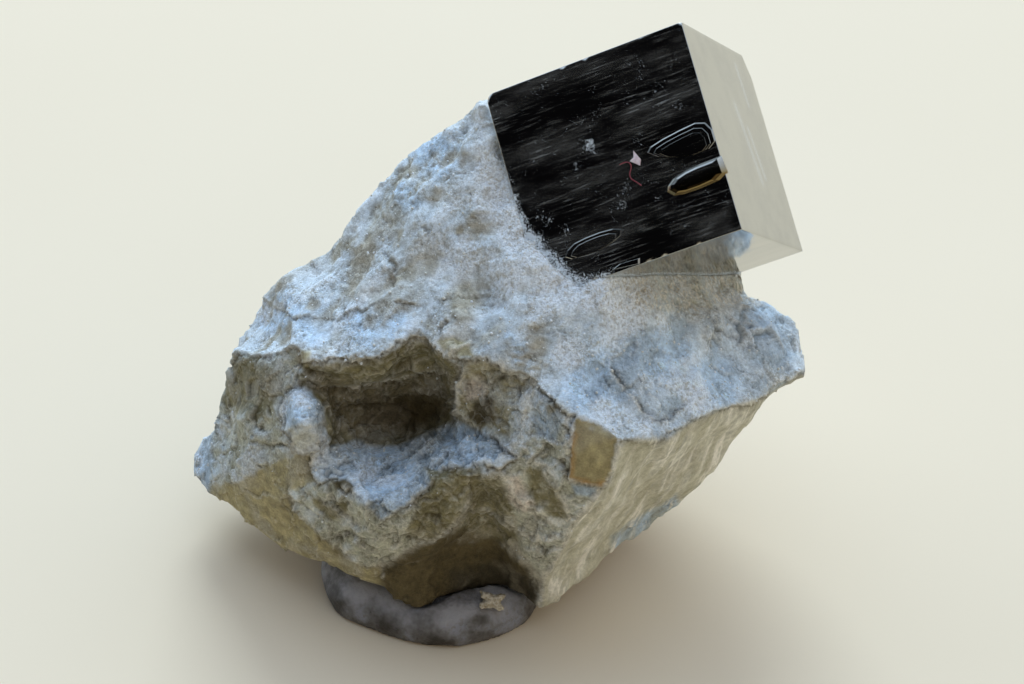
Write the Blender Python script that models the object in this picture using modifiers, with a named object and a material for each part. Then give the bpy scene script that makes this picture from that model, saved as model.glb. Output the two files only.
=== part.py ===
"""A pyrite cube grown on a piece of marl, standing in a wad of display putty.

The specimen is drawn as it is seen on display, from in front and above. Points on the stone are read off
a drawing sheet that stands square to the line of sight: millimetres from the sheet's left edge,
millimetres down from its top edge, and millimetres that the point stands out of the sheet, towards the
eye. The view frame has +X across the sheet, +Y up it and +Z towards the eye. Everything is then tipped
from the view frame into the standing frame, +Z up, and moved so that the origin is the middle of its base.
"""

import math

import bmesh
import bpy
from mathutils import Euler, Matrix, Vector, noise
from mathutils.geometry import delaunay_2d_cdt

MM = 0.001

# The drawing and how it stands. Points that are nearer than this on the sheet, in millimetres, are one.
SHEET_DISTANCE = 284.4 * MM
SHEET_MIDDLE = Vector((51.2, 34.2))
SHEET_MERGE = 0.0001
SIGHT_ELEVATION = math.radians(36)
STAND = Matrix.Rotation(math.pi / 2 - SIGHT_ELEVATION, 4, "X")

# Finishes: colour, roughness and metallic.
MARL = ((0.42, 0.40, 0.33), 0.9, 0.0)
PYRITE = ((0.62, 0.59, 0.50), 0.12, 1.0)
PUTTY = ((0.30, 0.29, 0.34), 0.6, 0.0)

# The crystal, in the view frame.
CUBE_EDGE = 20.0 * MM
CUBE_CENTRE = Vector((12.74, 15.83, 15.33)) * MM
CUBE_TURN = Euler((math.radians(-10.65), math.radians(-19.33), math.radians(18.99)))
CUBE_BEVEL = 0.12 * MM

# The cut back corner of the crystal: how far it runs along each of the three edges that meet there.
CORNER_CUT = Vector((2.2, 2.4, 1.3)) * MM

# Growth hillocks on the crystal's front face, each a stepped lozenge along the striation. The points are
# millimetres right of the face's left edge and millimetres down from its top edge.
HILLOCKS = [
    [
        (13.8, 10.3), (14.6, 9.6), (16.7, 9.1), (18.8, 9.3), (19.8, 10.4), (19.5, 11.4), (17.3, 11.9),
        (15.0, 11.4),
    ],
    [(14.4, 14.2), (15.2, 13.4), (17.9, 13.1), (20.1, 13.1), (20.2, 14.6), (19.3, 15.1), (15.0, 15.0)],
    [(3.4, 16.8), (4.3, 16.0), (7.1, 15.9), (9.2, 16.2), (8.8, 17.0), (6.7, 17.5), (4.1, 17.4)],
]
HILLOCK_ROOT = 0.4 * MM

# Each step of a hillock: how much of the outline its foot and its top take up, and how high it rises.
HILLOCK_STEPS = [(1.0, 0.84, 0.16 * MM), (0.68, 0.5, 0.3 * MM)]
HILLOCK_FLAT = math.radians(1)

# Fit, and how finely the stone is meshed. Each layer of noise is the size and the height of its lumps.
GAP = 0.3 * MM
WELD = 0.01 * MM
STONE_VOXEL = 0.7 * MM
STONE_TRIANGLES = 7400
STONE_NOISE = [(9 * MM, 0.4 * MM), (4 * MM, 0.36 * MM), (2.2 * MM, 0.2 * MM)]
NOISE_SHIFT = Vector((17.3, 5.1, 9.7))

# The putty, in the standing frame, measured from the point where the sheet's middle falls. Its outline is
# drawn round two circles: the one that shows in front, and a smaller one behind it, under the crystal.
PUTTY_CIRCLES = [
    (Vector((-7.0, -14.6)) * MM, 12.3 * MM),
    (Vector((-1.5, -7.5)) * MM, 10.2 * MM),
]
PUTTY_FLOOR = -16.9 * MM
PUTTY_BELLY = 1.6 * MM
PUTTY_RIM_HEIGHT = 2.6 * MM
PUTTY_RIM_WIDTH = 2.9 * MM
PUTTY_RIM_STEPS = 12
PUTTY_SIDES = 48
PUTTY_VOXEL = 0.8 * MM
PUTTY_TRIANGLES = 1240
PUTTY_NOISE = [(9 * MM, 0.7 * MM), (4 * MM, 0.3 * MM)]

# The print that a piece leaves in the putty: how far it stands off the piece, how finely it is meshed, and
# the triangles that it keeps.
STONE_PRINT = (0.45 * MM, 0.9 * MM, 9000)
CRUMB_PRINT = (0.3 * MM, 0.4 * MM, 160)

# The crumb on the putty: a chip with four points, on the drawing sheet. Each spindle runs through its middle
# and is given by its turn and its half length, and the short one fills the middle out.
CRUMB_PLACE = (49.2, 60.1, 12.9)
CRUMB_SPINDLES = [
    (math.radians(24), 1.65 * MM),
    (math.radians(-38), 1.7 * MM),
    (math.radians(80), 0.8 * MM),
]
CRUMB_HALF_THICKNESS = 0.55 * MM

# The stone's outline, clockwise from the top, where it meets the crystal's upper left corner.
OUTLINE = [
    (48.7, 9.7, 14), (47.0, 11.0, 13.5), (45.5, 11.9, 13), (44.0, 13.0, 13), (41.8, 14.9, 12.5),
    (40.0, 16.7, 12), (38.3, 18.6, 12), (36.2, 21.1, 11), (34.5, 23.6, 11), (32.5, 25.9, 9),
    (30.0, 26.8, 8), (28.3, 27.8, 7), (26.8, 29.5, 6), (26.2, 31.2, 6), (24.5, 33.5, 6),
    (23.2, 35.5, 7), (22.4, 37.2, 7), (21.9, 39.2, 6), (21.6, 41.2, 5), (21.4, 42.8, 4),
    (20.0, 43.5, 1), (19.2, 45.2, 0), (19.0, 47.0, 0), (19.5, 48.6, 1), (20.7, 49.6, 3),
    (21.6, 50.8, 5), (23.2, 50.6, 6), (24.3, 51.3, 6.5), (25.8, 52.9, 7), (27.2, 54.1, 7.5),
    (29.5, 55.5, 8), (32.0, 56.3, 9), (34.5, 57.2, 11), (37.8, 59.0, 12), (38.6, 59.8, 12.5),
    (40.4, 60.5, 12.5), (41.2, 61.4, 12.5), (44.0, 60.4, 11.6), (45.5, 59.6, 10.6), (47.5, 59.0, 9.8),
    (50.0, 58.8, 9.7), (52.0, 59.4, 10.5), (53.6, 61.0, 12.5), (56.0, 59.9, 12), (57.7, 58.7, 11),
    (59.3, 57.6, 10), (60.6, 56.1, 8), (62.1, 54.9, 7), (62.6, 54.1, 6), (65.0, 52.6, 4),
    (66.3, 51.6, 3.5), (67.9, 50.3, 6), (68.9, 49.6, 7), (70.4, 48.5, 8), (71.4, 47.4, 9),
    (72.1, 46.1, 10), (72.7, 44.6, 11), (73.9, 43.8, 11.5), (74.8, 42.4, 13), (75.3, 41.2, 14),
    (76.4, 40.4, 13), (78.2, 38.8, 12), (80.1, 37.8, 11.5), (80.8, 36.7, 11), (80.8, 35.8, 11),
    (80.1, 35.2, 10), (79.6, 34.2, 9), (79.9, 33.1, 8), (78.9, 32.1, 8), (78.0, 30.8, 8),
    (76.9, 30.0, 8), (75.5, 29.7, 8), (74.2, 29.7, 8.5), (74.1, 28.9, 8.5), (74.8, 28.3, 8),
    (74.5, 27.2, 8.5), (70.0, 24.0, 3), (64.0, 19.0, 1), (57.0, 14.0, -2), (52.0, 10.8, 8),
]

# Edges of the front: where the top surfaces break off, from the left end to the right tip.
BROKEN_LIP = [
    (22.4, 37.2, 7), (23.9, 35.5, 12), (25.6, 35.5, 14), (27.9, 35.2, 16.5), (29.8, 34.9, 18.5),
    (31.2, 36.0, 20), (33.7, 36.1, 21.5), (35.8, 35.9, 22.5), (37.9, 35.8, 23), (39.6, 34.5, 22.5),
    (41.5, 33.4, 22), (42.7, 33.7, 22.5), (43.8, 35.0, 24), (45.4, 35.6, 25), (47.3, 36.3, 26),
    (50.1, 36.7, 26.8), (52.0, 37.4, 27.2), (53.4, 38.6, 27.8), (55.2, 40.2, 28.5), (57.4, 41.8, 29.3),
    (59.7, 42.6, 29.8), (61.8, 44.0, 30.5), (63.2, 44.1, 29.5), (66.5, 44.1, 27), (67.0, 43.3, 26.5),
    (69.1, 42.2, 24.5), (70.6, 41.5, 23), (73.2, 40.5, 20), (75.3, 40.5, 17.5), (76.4, 39.7, 16),
    (78.1, 38.4, 14), (80.1, 37.4, 12.8), (80.8, 36.7, 11),
]
HOLLOW_ROOF = [
    (30.0, 37.7, 17), (31.2, 38.3, 17), (33.0, 38.9, 15), (35.2, 39.4, 14), (37.1, 39.2, 14),
    (40.4, 37.9, 15), (43.2, 36.4, 18), (45.5, 37.2, 20.5), (49.0, 37.4, 22.5), (52.5, 38.6, 24),
]
LOWER_SHELF_BACK = [
    (32.4, 45.5, 17), (33.9, 44.2, 14), (36.0, 44.4, 13), (39.0, 45.4, 14), (41.9, 44.2, 14.5),
    (44.8, 42.7, 17), (48.0, 42.7, 20), (50.5, 44.0, 22.5),
]
LOWER_SHELF_FRONT = [
    (31.8, 48.2, 18.5), (33.8, 47.9, 20.5), (36.2, 49.8, 22), (38.1, 52.1, 22), (40.6, 50.8, 23.5),
    (43.1, 48.6, 24.5), (44.4, 46.4, 24.2), (46.3, 46.9, 25), (48.0, 46.5, 25.2), (51.4, 45.9, 25.7),
]
KEEL = [
    (61.8, 44.0, 30.5), (62.0, 45.1, 29.8), (61.0, 47.7, 28.2), (60.4, 48.8, 27.4), (59.1, 49.7, 26.2),
    (57.7, 51.7, 23.5), (57.1, 52.4, 22.6), (55.9, 55.0, 19.3), (54.6, 57.7, 15.8), (53.6, 61.0, 12.5),
]
UNDERCUT_RIGHT = [
    (67.9, 50.3, 6), (66.4, 50.6, 8.2), (64.8, 50.4, 10), (63.3, 51.8, 10.6), (61.5, 53.4, 11),
    (59.3, 55.2, 11.6), (57.5, 57.0, 12), (56.0, 59.9, 12),
]
LEFT_BLOCK_FOOT = [
    (20.7, 49.6, 3), (23.5, 48.3, 9), (25.6, 46.9, 12.5), (27.2, 46.3, 14.5), (28.7, 45.8, 16.5),
    (31.2, 45.5, 18),
]
LEFT_FLANK_EDGE = [
    (31.2, 45.5, 18), (31.8, 48.2, 18.5), (28.9, 49.2, 14.5), (29.3, 50.4, 14.5), (31.0, 52.1, 15),
    (32.5, 53.4, 15.2), (33.9, 55.0, 15), (36.4, 56.5, 15.5), (38.0, 56.9, 15.3), (39.4, 59.0, 13.8),
    (41.2, 61.4, 12.5),
]
ARCH = [
    (36.4, 56.5, 15.5), (41.0, 54.6, 19), (43.2, 54.0, 20.5), (44.8, 52.7, 21.5), (46.1, 50.4, 23.5),
    (46.9, 47.1, 25), (50.1, 47.5, 25), (51.8, 52.4, 20.5), (51.6, 55.5, 16.5), (54.0, 58.1, 14.6),
]
CRYSTAL_SEAT = [
    (48.0, 10.5, 18), (49.0, 15.0, 19.8), (50.5, 19.5, 20.8), (51.5, 21.7, 21.5), (53.5, 23.5, 22.4),
    (54.5, 25.0, 22.9), (56.0, 26.2, 23.5), (57.2, 27.3, 24.1), (58.2, 28.0, 24.6), (60.0, 28.0, 25.4),
    (61.2, 27.7, 25.2), (64.0, 27.6, 21.5), (69.0, 27.6, 15.2), (74.0, 27.4, 9.4),
]
PLATEAU_FOOT = [
    (60.4, 37.2, 26.3), (61.7, 38.8, 26.7), (63.0, 40.6, 26.6), (64.2, 42.0, 26.8), (65.8, 42.5, 25.9),
    (68.9, 41.0, 23.6),
]
PLATEAU_EDGE = [
    (60.9, 36.6, 26.9), (62.3, 38.2, 27.2), (63.8, 39.9, 27), (64.8, 41.3, 26.8), (65.9, 41.8, 26.1),
    (68.6, 40.5, 24),
]
GOLDEN_FACET = [(57.4, 41.8, 29.3), (57.0, 45.0, 28.1), (56.9, 48.0, 27), (60.4, 48.8, 27.4)]
GOLDEN_FACET_FOOT = [(57.1, 48.7, 25.8), (59.1, 49.7, 26.2)]
BLOCK_EDGE = [(45.5, 37.2, 20.5), (45.4, 40.0, 20.5), (45.8, 42.5, 20)]
RIB = [(53.4, 38.6, 27.8), (52.6, 41.0, 26.4), (52.2, 43.0, 26), (51.4, 45.9, 25.7)]
FRONT_EDGES = [
    BROKEN_LIP, HOLLOW_ROOF, LOWER_SHELF_BACK, LOWER_SHELF_FRONT, KEEL, UNDERCUT_RIGHT, LEFT_BLOCK_FOOT,
    LEFT_FLANK_EDGE, ARCH, CRYSTAL_SEAT, PLATEAU_FOOT, PLATEAU_EDGE, GOLDEN_FACET, GOLDEN_FACET_FOOT,
    BLOCK_EDGE, RIB,
]

# Single points between those edges, face by face.
FRONT_POINTS = {
    "upper_slope": [
        (47.0, 15.0, 18.5), (44.0, 18.0, 18), (40.0, 23.0, 17.5), (43.0, 27.0, 20.5), (48.0, 23.0, 21.3),
        (37.0, 28.0, 18.3), (33.0, 30.0, 15.5), (48.2, 29.6, 22.3), (43.0, 32.0, 22), (52.0, 32.0, 25.6),
        (55.0, 36.0, 27.3), (37.0, 33.0, 21), (33.0, 34.0, 19), (29.0, 32.0, 14.5), (27.0, 34.0, 12.5),
        (28.8, 29.3, 11.2), (45.5, 30.8, 23.4), (51.0, 27.5, 24), (41.0, 20.0, 16.8), (46.5, 20.0, 19.6),
    ],
    "under_the_crystal": [
        (50.0, 13.0, 16), (53.0, 20.0, 18), (56.0, 23.0, 19), (60.0, 25.5, 21.5), (64.0, 25.8, 18),
        (70.0, 25.5, 12),
    ],
    "right_shelf": [
        (58.0, 31.0, 25.8), (60.0, 30.0, 25.6), (64.0, 30.5, 22.8), (69.0, 30.5, 17.4), (73.5, 30.6, 11.2),
        (60.0, 35.0, 26.3), (65.0, 36.0, 24.2), (70.0, 33.0, 18.8), (70.0, 37.0, 20.6), (75.0, 37.0, 16),
        (76.5, 32.3, 12.2), (73.5, 33.8, 14.6), (79.0, 35.8, 12.6), (57.5, 38.5, 27.6), (62.0, 42.0, 28.6),
        (71.5, 31.4, 15.2), (67.5, 33.5, 20.4),
    ],
    "right_underside": [
        (65.0, 46.0, 21.7), (70.0, 44.0, 17.6), (66.0, 48.0, 16.2), (62.0, 51.0, 16.8), (64.0, 48.0, 18.6),
        (59.0, 53.5, 17.4),
    ],
    "below_undercut": [(65.5, 51.5, 5.6), (63.0, 53.0, 7.4), (61.2, 54.5, 8.8)],
    "left_block": [
        (26.0, 40.0, 14), (28.5, 39.5, 16.5), (25.0, 45.0, 12), (24.0, 41.5, 11.3), (23.0, 46.0, 8.5),
    ],
    "left_lump": [
        (28.4, 41.0, 17.6), (30.3, 39.8, 20), (31.6, 40.6, 20.4), (30.0, 42.4, 21), (31.8, 43.2, 20.4),
        (30.2, 44.6, 19.4), (32.6, 42.0, 17.5),
    ],
    "left_flank": [(26.0, 49.5, 10.8), (29.0, 52.5, 11.8), (33.0, 55.5, 12.6)],
    "hollow_back": [
        (34.5, 40.5, 12), (37.1, 40.2, 12.2), (40.5, 39.6, 13.2), (43.8, 37.8, 16), (38.0, 42.0, 10.6),
        (40.5, 41.6, 10), (43.0, 42.5, 11.5), (40.0, 44.0, 10.8), (36.0, 42.6, 11.4), (44.6, 40.4, 14.5),
    ],
    "hollow_block": [(47.0, 39.0, 22), (49.3, 38.8, 23), (49.7, 41.0, 23), (47.5, 41.0, 22)],
    "lower_shelf": [(37.0, 47.0, 18), (42.0, 47.0, 20), (46.0, 45.0, 21.8), (34.0, 46.0, 17.6)],
    "mottled_slope": [
        (32.5, 50.0, 18), (35.5, 53.0, 18.6), (38.0, 54.6, 19.2), (40.5, 53.2, 21.2), (43.8, 50.6, 23),
    ],
    "lower_cavity": [
        (42.0, 57.5, 14.6), (44.0, 57.0, 13), (47.0, 54.0, 13.6), (48.5, 50.5, 18), (50.0, 53.5, 14.5),
        (50.0, 56.5, 11.6), (47.5, 57.0, 11.2), (46.0, 53.0, 17), (40.0, 57.5, 15.4),
    ],
    "right_of_rib": [
        (55.5, 43.0, 27.4), (54.0, 47.0, 25.8), (55.5, 50.0, 24.2), (54.0, 53.0, 20.6), (53.6, 55.6, 17.6),
    ],
}

# The back and the underside. The foot lies in one plane, on the putty.
BACK_POINTS = {
    "upper_back": [
        (50.0, 16.0, -5), (44.0, 18.0, -2.5), (40.0, 22.0, -4), (55.0, 22.0, -7), (62.0, 26.0, -5),
        (70.0, 28.5, -2), (75.5, 32.0, 0.5), (77.5, 36.0, 1), (74.0, 39.5, 1.5),
    ],
    "middle_back": [
        (34.0, 28.0, -5), (28.0, 33.0, -4.5), (45.0, 28.0, -11), (38.0, 33.0, -11.5), (52.0, 32.0, -13),
        (60.0, 33.0, -10.5), (68.0, 36.0, -6), (71.5, 43.0, 2.5),
    ],
    "lower_back": [
        (25.0, 40.0, -5.5), (22.5, 44.0, -4), (30.0, 42.0, -8.5), (38.0, 42.0, -10.5), (46.0, 41.0, -12.2),
        (54.0, 42.0, -11), (62.0, 42.0, -8), (67.0, 46.0, -1.5),
    ],
    "foot": [
        (28.0, 48.5, -1.6), (36.0, 48.0, -3.6), (44.0, 47.5, -4.3), (54.0, 47.0, -4.5), (60.0, 49.0, -2),
        (34.0, 53.0, 2.6), (42.0, 54.0, 4), (50.0, 54.0, 4), (57.0, 53.0, 2.8), (46.0, 58.0, 8.9),
        (52.0, 57.0, 7.8),
    ],
}


def clear_scene():
    for old in list(bpy.data.objects):
        bpy.data.objects.remove(old)


def collection_named(name):
    made = bpy.data.collections.new(name)
    bpy.context.scene.collection.children.link(made)
    return made


def material(name, finish):
    colour, roughness, metallic = finish
    made = bpy.data.materials.new(name)
    made.use_nodes = True
    shader = made.node_tree.nodes["Principled BSDF"]
    shader.inputs["Base Color"].default_value = (*colour, 1)
    shader.inputs["Roughness"].default_value = roughness
    shader.inputs["Metallic"].default_value = metallic
    return made


def new_object(name, mesh, collection):
    made = bpy.data.objects.new(name, mesh)
    collection.objects.link(made)
    return made


def new_helper(name, mesh, collection):
    made = new_object(name, mesh, collection)
    made.hide_render = True
    made.display_type = "WIRE"
    return made


def paint(obj, finish):
    obj.data.materials.clear()
    obj.data.materials.append(finish)


def mesh_from(bm, name):
    made = bpy.data.meshes.new(name)
    bm.to_mesh(made)
    bm.free()
    return made


def settle(obj):
    """Replaces the object's mesh by its evaluated one and drops the modifiers."""
    bpy.context.view_layer.update()
    graph = bpy.context.evaluated_depsgraph_get()
    made = bpy.data.meshes.new_from_object(obj.evaluated_get(graph), depsgraph=graph)
    obj.modifiers.clear()
    obj.data = made


def remeshed(obj, voxel):
    modifier = obj.modifiers.new("even_out", "REMESH")
    modifier.mode = "VOXEL"
    modifier.voxel_size = voxel
    settle(obj)


def thinned(obj, triangles):
    """Thins a freshly remeshed object, all of whose faces are quads, to a number of triangles."""
    modifier = obj.modifiers.new("thin_out", "DECIMATE")
    modifier.ratio = triangles / (2 * len(obj.data.polygons))
    modifier.use_collapse_triangulate = True
    settle(obj)


def boolean(obj, other, operation):
    modifier = obj.modifiers.new(operation.lower(), "BOOLEAN")
    modifier.operation = operation
    modifier.object = other
    modifier.solver = "EXACT"


def off_sheet(x, y, toward):
    """A point of the drawing in the view frame, on its line of sight from the eye."""
    nearer = 1 - toward * MM / SHEET_DISTANCE
    return Vector(((x - SHEET_MIDDLE.x) * nearer, (SHEET_MIDDLE.y - y) * nearer, toward)) * MM


def triangulated(outline, edges, points):
    """The drawing's points joined to triangles, with every outline and edge line kept as a crease."""
    index = {}
    flat = []
    depth = []
    creases = []

    def number(point):
        key = (round(point[0], 2), round(point[1], 2))
        if key not in index:
            index[key] = len(flat)
            flat.append(Vector(key))
            depth.append(point[2])
        return index[key]

    ring = [number(p) for p in outline]
    creases += list(zip(ring, ring[1:] + ring[:1]))
    for line in edges:
        run = [number(p) for p in line]
        creases += list(zip(run, run[1:]))
    for point in points:
        number(point)
    only_inside = 1
    made = delaunay_2d_cdt(flat, creases, [], only_inside, SHEET_MERGE)
    corners, _, faces, corner_sources, _, _ = made
    places = []
    for at, sources in zip(corners, corner_sources):
        toward = depth[sources[0]] if sources else nearest_depth(at, flat, depth)
        places.append(off_sheet(at.x, at.y, toward))
    return places, faces


def nearest_depth(at, flat, depth):
    """Where two creases cross, the new point takes the depth of its nearest neighbour."""
    return min(zip(flat, depth), key=lambda pair: (pair[0] - at).length)[1]


def all_points(groups):
    return [point for group in groups.values() for point in group]


def stone_cage():
    """The closed cage: the front and the back joined along the outline."""
    bm = bmesh.new()
    sides = (
        triangulated(OUTLINE, FRONT_EDGES, all_points(FRONT_POINTS)),
        triangulated(OUTLINE, [], all_points(BACK_POINTS)),
    )
    for places, faces in sides:
        verts = [bm.verts.new(p) for p in places]
        for face in faces:
            bm.faces.new([verts[i] for i in face])
    bmesh.ops.remove_doubles(bm, verts=bm.verts, dist=WELD)
    bmesh.ops.recalc_face_normals(bm, faces=bm.faces)
    return mesh_from(bm, "stone_cage")


def roughen(mesh, layers):
    """Moves each vertex along its normal by the layers of noise."""
    places = []
    for vertex in mesh.vertices:
        height = 0.0
        for number, (size, rise) in enumerate(layers):
            at = vertex.co / size + NOISE_SHIFT * number
            height += rise * noise.noise(at)
        places.append(vertex.co + vertex.normal * height)
    for vertex, place in zip(mesh.vertices, places):
        vertex.co = place
    mesh.update()


def cube_place():
    return STAND @ Matrix.Translation(CUBE_CENTRE) @ CUBE_TURN.to_matrix().to_4x4()


def build_stone(parts, helpers, finish):
    stone = new_object("matrix", stone_cage(), parts)
    stone.matrix_world = STAND
    remeshed(stone, STONE_VOXEL)
    roughen(stone.data, STONE_NOISE)
    thinned(stone, STONE_TRIANGLES)
    bm = bmesh.new()
    bmesh.ops.create_cube(bm, size=CUBE_EDGE + 2 * GAP)
    pocket = new_helper("crystal_pocket", mesh_from(bm, "crystal_pocket"), helpers)
    pocket.matrix_world = cube_place()
    boolean(stone, pocket, "DIFFERENCE")
    settle(stone)
    paint(stone, finish)
    return stone


def cut_corner(bm):
    """Cuts the back corner off the crystal, at the top right."""
    corner = Vector((1, 1, -1)) * CUBE_EDGE / 2
    a = corner - Vector((CORNER_CUT.x, 0, 0))
    b = corner - Vector((0, CORNER_CUT.y, 0))
    c = corner + Vector((0, 0, CORNER_CUT.z))
    normal = (b - a).cross(c - a).normalized()
    if normal.dot(corner - a) < 0:
        normal = -normal
    geometry = bm.verts[:] + bm.edges[:] + bm.faces[:]
    bmesh.ops.bisect_plane(bm, geom=geometry, plane_co=a, plane_no=normal, clear_outer=True)
    bmesh.ops.edgeloop_fill(bm, edges=[e for e in bm.edges if e.is_boundary])


def hillock_step(outline, foot_scale, top_scale, rise):
    """One convex step of a hillock, rooted below the crystal's front face."""
    middle = sum((Vector(p) for p in outline), Vector((0, 0))) / len(outline)
    bm = bmesh.new()
    for scale, height in ((foot_scale, -HILLOCK_ROOT), (foot_scale, 0.0), (top_scale, rise)):
        for point in outline:
            across, down = (middle + (Vector(point) - middle) * scale) * MM
            bm.verts.new((across - CUBE_EDGE / 2, CUBE_EDGE / 2 - down, CUBE_EDGE / 2 + height))
    bmesh.ops.convex_hull(bm, input=bm.verts)
    bmesh.ops.dissolve_limit(bm, angle_limit=HILLOCK_FLAT, verts=bm.verts, edges=bm.edges)
    return mesh_from(bm, "hillock_step")


def build_cube(parts, helpers, finish):
    bm = bmesh.new()
    bmesh.ops.create_cube(bm, size=CUBE_EDGE)
    cut_corner(bm)
    bmesh.ops.bevel(bm, geom=bm.edges[:], offset=CUBE_BEVEL, segments=1, affect="EDGES")
    cube = new_object("pyrite_cube", mesh_from(bm, "pyrite_cube"), parts)
    cube.matrix_world = cube_place()
    for number, outline in enumerate(HILLOCKS, 1):
        for step, (foot_scale, top_scale, rise) in enumerate(HILLOCK_STEPS, 1):
            mesh = hillock_step(outline, foot_scale, top_scale, rise)
            helper = new_helper(f"hillock_{number}_step_{step}", mesh, helpers)
            helper.matrix_world = cube_place()
            boolean(cube, helper, "UNION")
    settle(cube)
    paint(cube, finish)
    return cube


def grown(obj, amount, voxel, triangles, helpers):
    """A copy of the object, swollen all round, to cut its print into a neighbour."""
    swollen = new_helper(obj.name + "_print", obj.data.copy(), helpers)
    swollen.matrix_world = obj.matrix_world
    for vertex, normal in zip(swollen.data.vertices, [v.normal.copy() for v in obj.data.vertices]):
        vertex.co += normal * amount
    remeshed(swollen, voxel)
    thinned(swollen, triangles)
    return swollen


def crumb_spindle(turn, half_length):
    """A long twenty-sided grain through the crumb's middle."""
    bm = bmesh.new()
    size = (half_length, CRUMB_HALF_THICKNESS, CRUMB_HALF_THICKNESS)
    bmesh.ops.create_icosphere(bm, subdivisions=1, radius=1.0)
    bmesh.ops.scale(bm, vec=size, verts=bm.verts)
    bmesh.ops.rotate(bm, cent=(0, 0, 0), matrix=Matrix.Rotation(turn, 3, "Z"), verts=bm.verts)
    return mesh_from(bm, "crumb_spindle")


def build_crumb(parts, helpers, finish):
    first, *others = CRUMB_SPINDLES
    crumb = new_object("crumb", crumb_spindle(*first), parts)
    crumb.matrix_world = STAND @ Matrix.Translation(off_sheet(*CRUMB_PLACE))
    for number, spindle in enumerate(others, 2):
        helper = new_helper(f"crumb_spindle_{number}", crumb_spindle(*spindle), helpers)
        helper.matrix_world = crumb.matrix_world
        boolean(crumb, helper, "UNION")
    settle(crumb)
    paint(crumb, finish)
    return crumb


def putty_wad():
    """The round wad before it is pressed: a cushion with a full rim, deeper than its floor."""
    bm = bmesh.new()
    for step in range(PUTTY_RIM_STEPS + 1):
        angle = math.pi * (step / PUTTY_RIM_STEPS - 0.5)
        inset = PUTTY_RIM_WIDTH * (1 - math.cos(angle))
        height = PUTTY_BELLY + PUTTY_RIM_HEIGHT * math.sin(angle)
        for centre, radius in PUTTY_CIRCLES:
            level = Matrix.Translation((*centre, height))
            bmesh.ops.create_circle(bm, segments=PUTTY_SIDES, radius=radius - inset, matrix=level)
    hull = bmesh.ops.convex_hull(bm, input=bm.verts)
    bmesh.ops.delete(bm, geom=hull["geom_interior"], context="VERTS")
    return mesh_from(bm, "putty_base")


def build_putty(parts, helpers, stone, crumb, finish):
    putty = new_object("putty_base", putty_wad(), parts)
    putty.location.z = PUTTY_FLOOR
    bpy.context.view_layer.update()
    remeshed(putty, PUTTY_VOXEL)
    roughen(putty.data, PUTTY_NOISE)
    thinned(putty, PUTTY_TRIANGLES)
    bm = bmesh.new()
    bm.from_mesh(putty.data)
    geometry = bm.verts[:] + bm.edges[:] + bm.faces[:]
    bmesh.ops.bisect_plane(bm, geom=geometry, plane_co=(0, 0, 0), plane_no=(0, 0, -1), clear_outer=True)
    bmesh.ops.edgeloop_fill(bm, edges=[e for e in bm.edges if e.is_boundary])
    putty.data = mesh_from(bm, "putty_base")
    for neighbour, (stand_off, voxel, triangles) in ((stone, STONE_PRINT), (crumb, CRUMB_PRINT)):
        boolean(putty, grown(neighbour, stand_off, voxel, triangles, helpers), "DIFFERENCE")
    settle(putty)
    paint(putty, finish)
    return putty


def stand_on_origin(pieces):
    """Hangs the pieces on one empty, which brings the middle of the base to the origin."""
    bpy.context.view_layer.update()
    corners = [piece.matrix_world @ vertex.co for piece in pieces for vertex in piece.data.vertices]
    low = Vector([min(corner[axis] for corner in corners) for axis in range(3)])
    high = Vector([max(corner[axis] for corner in corners) for axis in range(3)])
    specimen = bpy.data.objects.new("specimen", None)
    pieces[0].users_collection[0].objects.link(specimen)
    for piece in pieces:
        piece.parent = specimen
    specimen.location = (-(low.x + high.x) / 2, -(low.y + high.y) / 2, -low.z)


def main():
    clear_scene()
    parts = collection_named("pyrite_specimen")
    helpers = collection_named("cutters")
    marl = material("marl", MARL)
    pyrite = material("pyrite", PYRITE)
    putty = material("putty", PUTTY)
    stone = build_stone(parts, helpers, marl)
    cube = build_cube(parts, helpers, pyrite)
    crumb = build_crumb(parts, helpers, marl)
    base = build_putty(parts, helpers, stone, crumb, putty)
    stand_on_origin([stone, cube, crumb, base])


main()
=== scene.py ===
import math

import bmesh
import bpy
import numpy as np
from mathutils import Euler, Matrix, Vector, noise
from mathutils.bvhtree import BVHTree


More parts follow.
